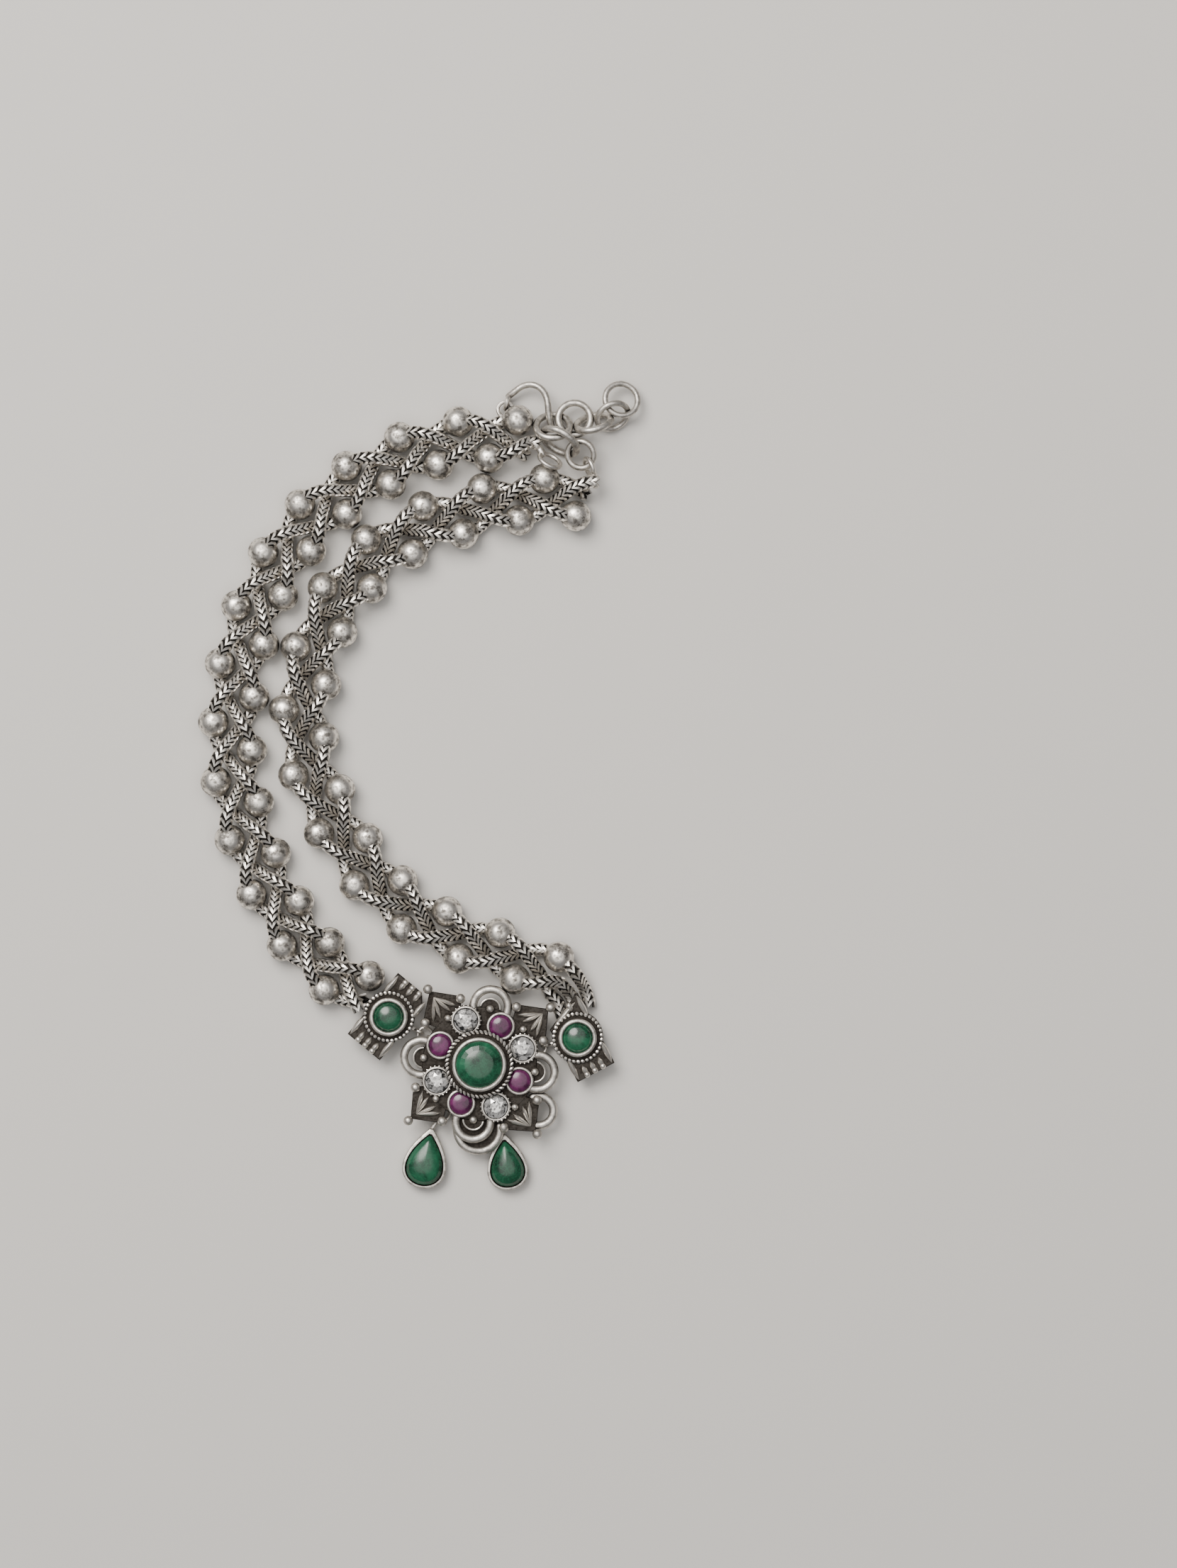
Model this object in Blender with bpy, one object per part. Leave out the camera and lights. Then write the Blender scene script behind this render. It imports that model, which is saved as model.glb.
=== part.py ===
"""Payal anklet: two plaited arms of three silver chains each, set with balls, that join a flower medallion,
its two side boxes and its two pear drops to a hook and ring clasp.

It lies flat, face up. The origin is the centre of the medallion's flat back, +Z is the way the stones face
and +Y runs from the medallion to the clasp. All sizes are in metres.
"""

import math

import bmesh
import bpy
from mathutils import Matrix, Vector
from mathutils.geometry import interpolate_bezier

MM = 0.001

# General clearances and mesh fineness
STONE_GAP = 0.1 * MM
SEAT = 0.1 * MM
FLOOR_GAP = 0.05 * MM
WIRE_SIDES = 6
THIN_SIDES = 5
STONE_STEPS = 10
GIRDLE_SHARE = 0.45
FOOT_SHARE = 0.8
RING_STEPS = 12
BEAD_SEGMENTS = 10
BEAD_RINGS = 3

# Plaited arms
STRAND_D = 1.8 * MM
STRAND_GAP = 0.5 * MM
STRAND_REACH = 2.25 * MM
BALL_D = 4.0 * MM
BALL_REACH = 2.5 * MM
BALL_ANGLES = (-63, -24, 24, 63)
TAIL_SPACING = 1.95 * MM
TAIL_SHARES = (0, 0.31, 0.62, 1)

# Each arm: the space between neighbouring balls, the first ball from the clasp end and the last from the box
# end, the side of the first ball, the hand of the plait, the strand that carries the end ring, and its box
ARMS = {
    "outer": {
        "step": 3.66 * MM, "first": 2.6 * MM, "last": 1.0 * MM,
        "side": -1, "hand": 1, "ring_strand": 3, "box": 0,
    },
    "inner": {
        "step": 3.86 * MM, "first": 2.43 * MM, "last": 5.8 * MM,
        "side": 1, "hand": -1, "ring_strand": 2, "box": 1,
    },
}
SIDE_LEAD = 1.3 * MM

# Centrelines of the two arms from the clasp, in millimetres, and their last points as measured from the
# middle of the box that each arm ends at
ROUTES_MM = {
    "outer": [
        (7.4, 80.3), (4.8, 80.8), (-2.3, 80.7), (-9.4, 78.8), (-16.1, 75.1), (-22.0, 70.1),
        (-26.6, 63.7), (-29.7, 56.9), (-31.4, 49.8), (-32.0, 42.3), (-31.4, 35.0), (-29.4, 28.1),
        (-26.4, 21.3), (-22.2, 15.0),
    ],
    "inner": [
        (14.8, 73.3), (12.2, 73.4), (5.2, 72.9), (-1.8, 71.3), (-8.6, 68.9), (-14.0, 65.1),
        (-19.0, 59.0), (-21.9, 51.5), (-22.8, 43.5), (-20.9, 35.8), (-17.1, 28.6), (-12.1, 22.3),
        (-6.0, 17.8), (1.2, 14.8),
    ],
}
ROUTE_ENDS_MM = {
    "outer": [(-5.88, 4.59), (-3.08, 2.59)],
    "inner": [(-4.3, 8.6), (-1.2, 5.8), (-0.4, 3.8)],
}

# Medallion
BOSS_RADIUS = 6.5 * MM
PLATE_BOTTOM = 2.2 * MM
PLATE_T = 0.7 * MM
PLATE_RADIUS = 7.4 * MM
DRUM_RADIUS = 4.05 * MM
DRUM_HEIGHT = 0.85 * MM
ROPE_RADIUS = 4.17 * MM
ROPE_WIRE = 0.54 * MM
MAIN_STONE_D = 6.0 * MM
MAIN_BEZEL_WALL = 0.4 * MM
MAIN_BEZEL_HEIGHT = 1.0 * MM
MAIN_STONE_HEIGHT = 1.65 * MM
MAIN_TABLE_SHARE = 0.57
WHITE_ORBIT = 5.9 * MM
WHITE_STONE_D = 3.05 * MM
PURPLE_ORBIT = 5.6 * MM
PURPLE_STONE_D = 2.9 * MM
SMALL_BEZEL_WALL = 0.28 * MM
SMALL_BEZEL_HEIGHT = 0.5 * MM
SMALL_STONE_HEIGHT = 0.8 * MM
SMALL_TABLE_SHARE = 0.58
LEAF_TIP = 11.4 * MM
LEAF_FLANK = 9.05 * MM
LEAF_FLANK_ANGLE = 19.5
LEAF_FAN = ((-35, 3.3 * MM), (-16, 2.9 * MM), (16, 2.9 * MM), (35, 3.3 * MM))
LEAF_WIDTH = 0.76 * MM
LEAF_HEIGHT = 0.5 * MM
TIP_BEAD_ORBIT = 11.75 * MM
FLANK_BEAD_ORBIT = 8.8 * MM
FLANK_BEAD_ANGLE = 18.4
LEAF_BEAD_ORBIT = 7.2 * MM
CRESCENT_BEAD_ORBIT = 7.25 * MM
LARGE_BEAD_D = 1.15 * MM
SMALL_BEAD_D = 0.85 * MM
CRESCENT_ORBIT = 7.55 * MM
CRESCENT_RADIUS = 2.25 * MM
CRESCENT_WIRE = 1.06 * MM
CRESCENT_HALF_ANGLE = 104
CRESCENT_STEPS = 8
LOBE_RADIUS = 1.4 * MM
BACK_CRESCENT_RADIUS = 2.8 * MM
BACK_CRESCENT_ORBIT = 8.5 * MM
BACK_CRESCENT_ANGLE = 269
BACK_CRESCENT_HALF_ANGLE = 100
BACK_CRESCENT_WIRE = 1.0 * MM
BACK_CRESCENT_Z = 2.45 * MM
BACK_PLATE_T = 0.4 * MM
HALF_MOON_RADIUS = 1.9 * MM
HALF_MOON_ORBIT = 9.8 * MM
HALF_MOON_ANGLE = -38.5
HALF_MOON_HALF_ANGLE = 114
HALF_MOON_WIRE = 1.1 * MM
HALF_MOON_Z = 2.3 * MM

# Angle of each of the four leaves, crescents, white and purple stones as the flower was soldered, in degrees
FLOWER_QUARTERS = (
    {"leaf": 38.5, "crescent": 79.0, "white": 19.6, "purple": 60.5},
    {"leaf": 124.5, "crescent": 173.7, "white": 107.3, "purple": 154.3},
    {"leaf": 218.5, "crescent": 263.7, "white": 201.9, "purple": 245.0},
    {"leaf": 309.5, "crescent": 351.9, "white": 291.0, "purple": 337.1},
)

# Jump rings that lie flat between two upright eyelets, under the medallion's rim
LINK_Z = 0.95 * MM
LINK_RADIUS = 0.95 * MM
LINK_WIRE = 0.4 * MM
LINK_STEPS = 10
EYELET_RADIUS = 0.55 * MM
EYELET_WIRE = 0.36 * MM
EYELET_SEAT = 0.05 * MM
NECK_WIRE = 0.6 * MM
NECK_DEPTH = 0.4 * MM
INNER_EYELET_ORBIT = BOSS_RADIUS + EYELET_RADIUS - EYELET_SEAT
LINK_ORBIT = INNER_EYELET_ORBIT + LINK_RADIUS
OUTER_EYELET_ORBIT = LINK_ORBIT + LINK_RADIUS

# Side boxes: the direction from the medallion, the reach from the box's eyelet to its middle, the turn, and
# the corner that is cut off as shares of the sides
BOX_HALF_LENGTH = 2.7 * MM
BOX_HALF_WIDTH = 5.1 * MM
BOX_PLATE_T = 0.8 * MM
BOX_BACK_RADIUS = 3.3 * MM
BOX_ROPE_RADIUS = 3.1 * MM
BOX_STONE_D = 3.85 * MM
BOX_BEZEL_WALL = 0.45 * MM
BOX_BEZEL_HEIGHT = 1.1 * MM
BOX_STONE_HEIGHT = 1.25 * MM
BOX_TABLE_SHARE = 0.6
RIDGE_WIDTH = 0.75 * MM
RIDGE_HEIGHT = 0.8 * MM
RIDGE_INSET = 0.3 * MM
RIB_LENGTH = 1.7 * MM
RIB_SPACING = 1.15 * MM
SIDE_BOXES = (
    {
        "side": "left", "angle": 152.47, "reach": 4.317 * MM, "turn": -39.6,
        "cut_end": 1, "cut_length": 0.25, "cut_width": 0.15, "whole_ends": (-1, 1),
    },
    {
        "side": "right", "angle": 14.99, "reach": 4.247 * MM, "turn": 208.0,
        "cut_end": -1, "cut_length": 0.96, "cut_width": 0.247, "whole_ends": (1,),
    },
)

# Pear drops: the direction from the medallion, the reach from the drop's eyelet to its tip, the lean of its
# axis from -Y, and its size
DROP_BEZEL_WALL = 0.42 * MM
DROP_BEZEL_HEIGHT = 1.65 * MM
DROP_FLOOR_T = 0.75 * MM
DROP_STONE_HEIGHT = 1.75 * MM
DROP_TIP_WALL = 0.8 * MM
DROP_POINTS = 20
DROP_FULLNESS = 1.0
DROP_BLUNT = 20
DROP_FOOT_SHARE = 0.05
DROP_CROWN_SHARE = 0.16
DROPS = (
    {
        "side": "left", "angle": 233.2, "reach": 1.4 * MM, "lean": -11.0,
        "length": 8.1 * MM, "width": 5.7 * MM,
    },
    {
        "side": "right", "angle": -71.3, "reach": 0.6 * MM, "lean": 6.8,
        "length": 7.5 * MM, "width": 5.3 * MM,
    },
)

# Clasp: the flat eyelet on the outer arm, the way the hook hangs from it, and the hook's route, in
# millimetres
HOOK_WIRE = 0.85 * MM
HOOK_EYE_RADIUS = 0.85 * MM
HOOK_EYE_WIRE = 0.6 * MM
HOOK_EYELET_MM = (3.3, 84.75, 1.25)
HOOK_EYELET_RADIUS = 0.95 * MM
HOOK_EYELET_WIRE = 0.5 * MM
HOOK_WAY = 75
HOOK_ROUTE_MM = [
    (4.6, 87.1, 1.6), (5.6, 87.75, 1.85), (6.8, 87.9, 2.2), (7.9, 87.4, 2.45), (8.6, 86.4, 2.5),
    (8.85, 85.2, 2.55), (8.95, 84.15, 2.45), (9.15, 83.1, 2.15), (9.45, 82.15, 1.85),
]

# Rings: centre in millimetres, tilt of the ring's axis from +Z and the way it tilts to in degrees, and the
# size in millimetres
RINGS = {
    "clasp_ring": {"at": (9.5, 82.47, 2.64), "tilt": 43, "azimuth": 92, "radius": 2.2, "wire": 0.7},
    "bar_ring": {"at": (10.39, 80.51, 2.69), "tilt": 64, "azimuth": 240, "radius": 2.45, "wire": 0.75},
    "arm_ring": {"at": (13.09, 78.82, 2.57), "tilt": 19, "azimuth": 225, "radius": 1.75, "wire": 0.6},
    "extension_ring_1": {"at": (12.28, 83.47, 2.25), "tilt": 6, "azimuth": 100, "radius": 2.1, "wire": 0.7},
    "extension_ring_2": {"at": (14.75, 82.94, 2.51), "tilt": 63, "azimuth": 104, "radius": 2.3, "wire": 0.7},
    "extension_ring_3": {"at": (17.21, 83.83, 2.1), "tilt": 47, "azimuth": 296, "radius": 2.1, "wire": 0.6},
    "extension_ring_4": {"at": (18.36, 85.96, 2.22), "tilt": 18, "azimuth": 49, "radius": 2.15, "wire": 0.6},
}
OUTER_END_RING = {"at": (9.1, 78.0, 3.1), "tilt": 60, "azimuth": 61, "radius": 1.45, "wire": 0.6}
INNER_END_RING = {"at": (14.2, 77.18, 2.53), "tilt": 71, "azimuth": 202, "radius": 1.2, "wire": 0.6}
END_NECK_WIRE = 1.0 * MM
END_NECK_DEPTH = 0.5 * MM


def clear_scene():
    for obj in list(bpy.data.objects):
        bpy.data.objects.remove(obj, do_unlink=True)


def make_material(name, colour, roughness, metallic):
    """A plain Principled finish."""
    made = bpy.data.materials.new(name)
    made.use_nodes = True
    shader = made.node_tree.nodes["Principled BSDF"]
    shader.inputs["Base Color"].default_value = (*colour, 1.0)
    shader.inputs["Roughness"].default_value = roughness
    shader.inputs["Metallic"].default_value = metallic
    return made


def along(points, count):
    """A smooth open curve through the points, with this many steps between neighbours."""
    curve = []
    for k in range(len(points) - 1):
        before = points[max(k - 1, 0)]
        start, end = points[k], points[k + 1]
        after = points[min(k + 2, len(points) - 1)]
        handles = start + (end - before) / 6, end - (after - start) / 6
        curve += interpolate_bezier(start, *handles, end, count)[:-1]
    return [*curve, points[-1]]


class Route:
    """A flat smooth curve that is read by its length."""

    def __init__(self, points_mm):
        self.points = along([Vector((x, y, 0)) * MM for x, y in points_mm], 40)
        self.lengths = [0.0]
        for a, b in zip(self.points, self.points[1:]):
            self.lengths.append(self.lengths[-1] + (b - a).length)
        self.length = self.lengths[-1]

    def place(self, at):
        """The point at this length, and the unit direction to its left."""
        at = min(max(at, 0.0), self.length)
        k = next(i for i in range(1, len(self.lengths)) if self.lengths[i] >= at)
        a, b = self.points[k - 1], self.points[k]
        share = (at - self.lengths[k - 1]) / (self.lengths[k] - self.lengths[k - 1])
        way = (b - a).normalized()
        return a.lerp(b, share), Vector((-way.y, way.x, 0))


class Plait:
    """Three strands plaited along a route, with a ball threaded on every outer bend."""

    def __init__(self, route_mm, arm):
        self.route = Route(route_mm)
        self.hand = arm["hand"]
        self.first = arm["first"]
        plaited = self.route.length - arm["first"] - arm["last"]
        self.balls = max(round(plaited / arm["step"]), 1) + 1
        self.step = plaited / (self.balls - 1)
        self.start = self.first - self.step / 2
        self.tail = min(self.first + (self.balls - 0.5) * self.step, self.route.length)
        self.first_phase = math.radians(90 * arm["side"])
        self.rise = (STRAND_D + STRAND_GAP) / (2 * math.sin(math.radians(60)))
        self.middle = STRAND_D / 2 + self.rise + FLOOR_GAP

    def phase(self, at, strand):
        plaited = min(max(at, self.start), self.tail) - self.first
        lag = math.radians(120) * (strand - 1)
        return self.first_phase + math.radians(60) * plaited / self.step - lag

    def point(self, at, strand):
        """The middle of the strand at this length of the route."""
        phase = self.phase(at, strand)
        across = STRAND_REACH * math.sin(phase)
        height = self.middle + self.hand * self.rise * math.sin(2 * phase)
        if at > self.tail:
            share = min(1.6 * (at - self.tail) / (self.route.length - self.tail), 1)
            flat = share * share * (3 - 2 * share)
            across += flat * (round(math.sin(phase)) * TAIL_SPACING - across)
            height += flat * (STRAND_D / 2 + FLOOR_GAP - height)
        middle, left = self.route.place(at)
        return middle + left * across + Vector((0, 0, height))

    def strand_points(self, strand, begin):
        """(point, radius) along the strand, which swells to a ball on each bend."""
        balls = list(self.ball_places(strand))
        spots = []
        if balls[0][0] - begin > BALL_D / 2:
            spots.append((begin, self.point(begin, strand), STRAND_D / 2))
        for k in range(-4, 2 * self.balls + 4):
            for crossing in (30, -30):
                turn = math.radians(180 * k + crossing + 120 * (strand - 1)) - self.first_phase
                at = self.first + turn * self.step / math.radians(60)
                if begin + STRAND_D / 4 < at < self.tail - STRAND_D / 8:
                    spots.append((at, self.point(at, strand), STRAND_D / 2))
        for at, centre, way in balls:
            for angle in BALL_ANGLES:
                offset = BALL_D / 2 * math.sin(math.radians(angle))
                radius = BALL_D / 2 * math.cos(math.radians(angle))
                spots.append((at + offset, centre + way * offset, radius))
        tail = self.route.length - self.tail
        shares = TAIL_SHARES if tail > STRAND_D / 4 else TAIL_SHARES[-1:]
        ends = [self.tail + tail * share for share in shares]
        spots += [(at, self.point(at, strand), STRAND_D / 2) for at in ends if at > max(spots)[0]]
        return [spot[1:] for spot in sorted(spots)]

    def ball_places(self, strand):
        """The balls on this strand: each sits where the strand reaches furthest to one side."""
        for k in range(self.balls):
            at = self.first + k * self.step
            side = math.sin(self.phase(at, strand))
            if abs(side) > 0.99:
                middle, left = self.route.place(at)
                centre = middle + left * BALL_REACH * math.copysign(1, side)
                centre.z = BALL_D / 2 + FLOOR_GAP
                reach = min(self.step / 2, self.route.length - at)
                way = self.point(at + reach, strand) - self.point(at - reach, strand)
                yield at, centre, way.normalized()


def polar(radius, degrees, height=0.0):
    turn = math.radians(degrees)
    return Vector((radius * math.cos(turn), radius * math.sin(turn), height))


def frame_at(place, degrees=0.0):
    """A matrix that turns about Z and then moves."""
    return Matrix.Translation(place) @ Matrix.Rotation(math.radians(degrees), 4, "Z")


def facing(place, normal):
    """A matrix that carries +Z to this direction and the origin to this place."""
    turn = Vector(normal).normalized().to_track_quat("Z", "Y").to_matrix().to_4x4()
    return Matrix.Translation(place) @ turn


def loft(bm, rings, closed=False):
    """Skins rings of points that have the same count, and caps the ends unless it is closed."""
    loops = [[bm.verts.new(point) for point in ring] for ring in rings]
    pairs = list(zip(loops, loops[1:] + loops[:1])) if closed else list(zip(loops, loops[1:]))
    for low, high in pairs:
        for k in range(len(low)):
            j = (k + 1) % len(low)
            bm.faces.new((low[k], low[j], high[j], high[k]))
    if not closed:
        bm.faces.new(reversed(loops[0]))
        bm.faces.new(loops[-1])


def circle(radius, steps, height=0.0):
    return [polar(radius, 360 * k / steps, height) for k in range(steps)]


def turned(bm, profile, steps, matrix=None):
    """A solid turned about Z from (radius, height) pairs that run upwards."""
    rings = [circle(radius, steps, height) for radius, height in profile]
    loft(bm, place_rings(rings, matrix))


def place_rings(rings, matrix):
    if matrix is None:
        return rings
    return [[matrix @ point for point in ring] for ring in rings]


def bezel(bm, inner, outer, bottom, top, steps, matrix):
    """An upright ring wall."""
    corners = ((outer, bottom), (outer, top), (inner, top), (inner, bottom))
    rings = [circle(radius, steps, height) for radius, height in corners]
    loft(bm, place_rings(rings, matrix), closed=True)


def prism(bm, outline, bottom, top, matrix=None):
    """A flat plate with this outline of (x, y) pairs, which runs anticlockwise."""
    rings = [[Vector((x, y, height)) for x, y in outline] for height in (bottom, top)]
    loft(bm, place_rings(rings, matrix))


def sphere(bm, centre, diameter, rings=BEAD_RINGS):
    bmesh.ops.create_uvsphere(
        bm, u_segments=BEAD_SEGMENTS, v_segments=rings, radius=diameter / 2, matrix=Matrix.Translation(centre)
    )


def wire_arc(bm, radius, wire, half_angle, steps, matrix, sides=WIRE_SIDES):
    """A round wire bent to an arc about the matrix's +X, or to a whole ring at a half angle of 180."""
    whole = half_angle >= 180
    rings = []
    for k in range(steps if whole else steps + 1):
        turn = math.radians(-half_angle + 2 * half_angle * k / steps)
        out = Vector((math.cos(turn), math.sin(turn), 0))
        rings.append([
            out * (radius + wire / 2 * math.cos(side)) + Vector((0, 0, wire / 2 * math.sin(side)))
            for side in (2 * math.pi * k / sides for k in range(sides))
        ])
    loft(bm, [[matrix @ point for point in reversed(ring)] for ring in rings], closed=whole)


def petal(bm, start, end, width, height, fullest, sides=4):
    """A slim leaf between two points, with its greatest width at the given share of its length."""
    way = end - start
    across = Vector((-way.y, way.x, 0)).normalized()
    rings = []
    for share in (0.03, 0.35, 0.7, 0.97):
        bend = share / fullest / 2 if share < fullest else 0.5 + (share - fullest) / (1 - fullest) / 2
        swell = math.sin(math.pi * bend)
        rings.append([
            start + way * share + across * math.sin(turn) * swell * width / 2
            + Vector((0, 0, math.cos(turn) * swell * height / 2))
            for turn in (2 * math.pi * k / sides for k in range(sides))
        ])
    loft(bm, rings)


def new_object(name, build, *args, **options):
    """An object whose mesh is drawn by build(bmesh, ...)."""
    bm = bmesh.new()
    build(bm, *args, **options)
    bmesh.ops.recalc_face_normals(bm, faces=bm.faces)
    mesh = bpy.data.meshes.new(name)
    bm.to_mesh(mesh)
    bm.free()
    obj = bpy.data.objects.new(name, mesh)
    bpy.context.scene.collection.objects.link(obj)
    return obj


def finish(obj, material):
    """Gives the piece its material and smooth shading between sharp edges."""
    obj.data.materials.clear()
    obj.data.materials.append(material)
    obj.data.shade_smooth()
    obj.data.set_sharp_from_angle(angle=math.radians(40))
    return obj


def soldered(name, shapes, material):
    """Joins overlapping shapes into the first one as one solid."""
    body, *others = shapes
    joined = bpy.data.collections.new(name)
    for other in others:
        joined.objects.link(other)
    union = body.modifiers.new("Solder", "BOOLEAN")
    union.operation = "UNION"
    union.solver = "EXACT"
    union.operand_type = "COLLECTION"
    union.collection = joined
    graph = bpy.context.evaluated_depsgraph_get()
    mesh = bpy.data.meshes.new_from_object(body.evaluated_get(graph))
    body.modifiers.clear()
    body.data = mesh
    for other in others:
        bpy.data.objects.remove(other, do_unlink=True)
    bpy.data.collections.remove(joined)
    body.name = name
    mesh.name = name
    return finish(body, material)


def round_wire(name, spots, resolution=2):
    """A wire through these (point, radius) pairs, closed at its ends, as a mesh."""
    curve = bpy.data.curves.new(name, "CURVE")
    curve.dimensions = "3D"
    curve.bevel_depth = MM
    curve.bevel_resolution = resolution
    curve.use_fill_caps = True
    spline = curve.splines.new("POLY")
    spline.points.add(len(spots) - 1)
    for spot, (point, radius) in zip(spline.points, spots):
        spot.co = (*point, 1.0)
        spot.radius = radius / MM
    guide = bpy.data.objects.new(name, curve)
    bpy.context.scene.collection.objects.link(guide)
    graph = bpy.context.evaluated_depsgraph_get()
    mesh = bpy.data.meshes.new_from_object(guide.evaluated_get(graph))
    bpy.data.objects.remove(guide, do_unlink=True)
    bpy.data.curves.remove(curve)
    bm = bmesh.new()
    bm.from_mesh(mesh)
    bmesh.ops.remove_doubles(bm, verts=bm.verts, dist=MM / 1000)
    bmesh.ops.recalc_face_normals(bm, faces=bm.faces)
    bm.to_mesh(mesh)
    bm.free()
    obj = bpy.data.objects.new(name, mesh)
    bpy.context.scene.collection.objects.link(obj)
    return obj


def rod(bm, start, end, diameter, sides=WIRE_SIDES):
    """A straight bar from one point to another."""
    way = end - start
    matrix = facing(start, way)
    turned(bm, [(diameter / 2, 0), (diameter / 2, way.length)], sides, matrix)


def cut_stone(bm, diameter, table, bottom, height, steps, matrix=None):
    """A round stone with a flat table, a ring of crown facets and a small foot."""
    radius = diameter / 2
    girdle = bottom + GIRDLE_SHARE * height
    turned(bm, [(FOOT_SHARE * radius, bottom), (radius, girdle), (table / 2, bottom + height)], steps, matrix)


def eyelet_shapes(name, place, degrees, neck_end=None):
    """An upright ring in the plane of its direction and Z, on a short neck when it needs one."""
    matrix = frame_at(place, degrees) @ Matrix.Rotation(math.radians(90), 4, "X")
    size = (EYELET_RADIUS, EYELET_WIRE)
    yield new_object(f"{name}_eyelet", wire_arc, *size, 180, LINK_STEPS, matrix, THIN_SIDES)
    if neck_end is not None:
        start = place + (neck_end - place).normalized() * EYELET_RADIUS
        yield new_object(f"{name}_neck", rod, start, neck_end, NECK_WIRE)


def leaf_outline(angle):
    corners = (
        polar(PLATE_RADIUS * 0.6, angle),
        polar(LEAF_FLANK, angle - LEAF_FLANK_ANGLE),
        polar(LEAF_TIP, angle),
        polar(LEAF_FLANK, angle + LEAF_FLANK_ANGLE),
    )
    return [(corner.x, corner.y) for corner in corners]


def leaf_shapes(number, angle, plate_top):
    """One of the medallion's four leaf corners: its plate, its veins and its four beads."""
    top = plate_top - PLATE_T / 14
    name = f"leaf_{number}"
    yield new_object(name, prism, leaf_outline(angle), PLATE_BOTTOM + PLATE_T / 14, top)
    root = polar(LEAF_TIP - LARGE_BEAD_D * 0.8, angle, top)
    for turn, length in LEAF_FAN:
        tip = root + polar(length, angle + 180 + turn)
        yield new_object(f"{name}_vein", petal, root, tip, LEAF_WIDTH, LEAF_HEIGHT, 0.65)
    beads = (
        (TIP_BEAD_ORBIT, 0, LARGE_BEAD_D), (FLANK_BEAD_ORBIT, -FLANK_BEAD_ANGLE, LARGE_BEAD_D),
        (FLANK_BEAD_ORBIT, FLANK_BEAD_ANGLE, LARGE_BEAD_D), (LEAF_BEAD_ORBIT, 0, SMALL_BEAD_D),
    )
    for orbit, turn, size in beads:
        centre = polar(orbit, angle + turn, plate_top + size * 0.1)
        yield new_object(f"{name}_bead", sphere, centre, size)


def crescent_shapes(number, angle, plate_top):
    """One of the medallion's four crescents: its lobe, the lobe's bead, and the crescent itself."""
    name = f"crescent_{number}"
    lobe = frame_at(polar(CRESCENT_BEAD_ORBIT, angle), angle)
    profile = [(LOBE_RADIUS, PLATE_BOTTOM + PLATE_T / 7), (LOBE_RADIUS, plate_top - PLATE_T / 7)]
    yield new_object(name, turned, profile, 10, lobe)
    arc = frame_at(polar(CRESCENT_ORBIT, angle, plate_top - PLATE_T / 5), angle)
    yield new_object(
        f"{name}_arc", wire_arc, CRESCENT_RADIUS, CRESCENT_WIRE, CRESCENT_HALF_ANGLE, CRESCENT_STEPS, arc
    )
    bead = polar(CRESCENT_BEAD_ORBIT, angle, plate_top + SMALL_BEAD_D * 0.1)
    yield new_object(f"{name}_bead", sphere, bead, SMALL_BEAD_D * 1.15)


def back_shapes():
    """The second crescent below the lowest one, and the half moon beside the lower right leaf."""
    centre = polar(BACK_CRESCENT_ORBIT, BACK_CRESCENT_ANGLE)
    plate = frame_at(centre, BACK_CRESCENT_ANGLE)
    low = BACK_CRESCENT_Z - BACK_PLATE_T
    profile = [(BACK_CRESCENT_RADIUS, low), (BACK_CRESCENT_RADIUS, BACK_CRESCENT_Z)]
    yield new_object("back_plate", turned, profile, 16, plate)
    arc = frame_at(centre + Vector((0, 0, BACK_CRESCENT_Z)), BACK_CRESCENT_ANGLE)
    size = (BACK_CRESCENT_RADIUS, BACK_CRESCENT_WIRE, BACK_CRESCENT_HALF_ANGLE)
    yield new_object("back_arc", wire_arc, *size, CRESCENT_STEPS, arc)
    moon = frame_at(polar(HALF_MOON_ORBIT, HALF_MOON_ANGLE, HALF_MOON_Z))
    size = (HALF_MOON_RADIUS, HALF_MOON_WIRE, HALF_MOON_HALF_ANGLE)
    yield new_object("half_moon", wire_arc, *size, CRESCENT_STEPS, moon)


def small_settings(plate_top):
    """(name, place, stone diameter) of the eight small stones, in turn."""
    for number, quarter in enumerate(FLOWER_QUARTERS, 1):
        yield f"purple_stone_{number}", polar(PURPLE_ORBIT, quarter["purple"]), PURPLE_STONE_D
        yield f"white_stone_{number}", polar(WHITE_ORBIT, quarter["white"]), WHITE_STONE_D


def link_angles():
    """The directions in which the boxes and the drops hang from the medallion."""
    for kind, hung in (("box", SIDE_BOXES), ("drop", DROPS)):
        for one in hung:
            yield f"{kind}_link_{one['side']}", one["angle"]


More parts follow.
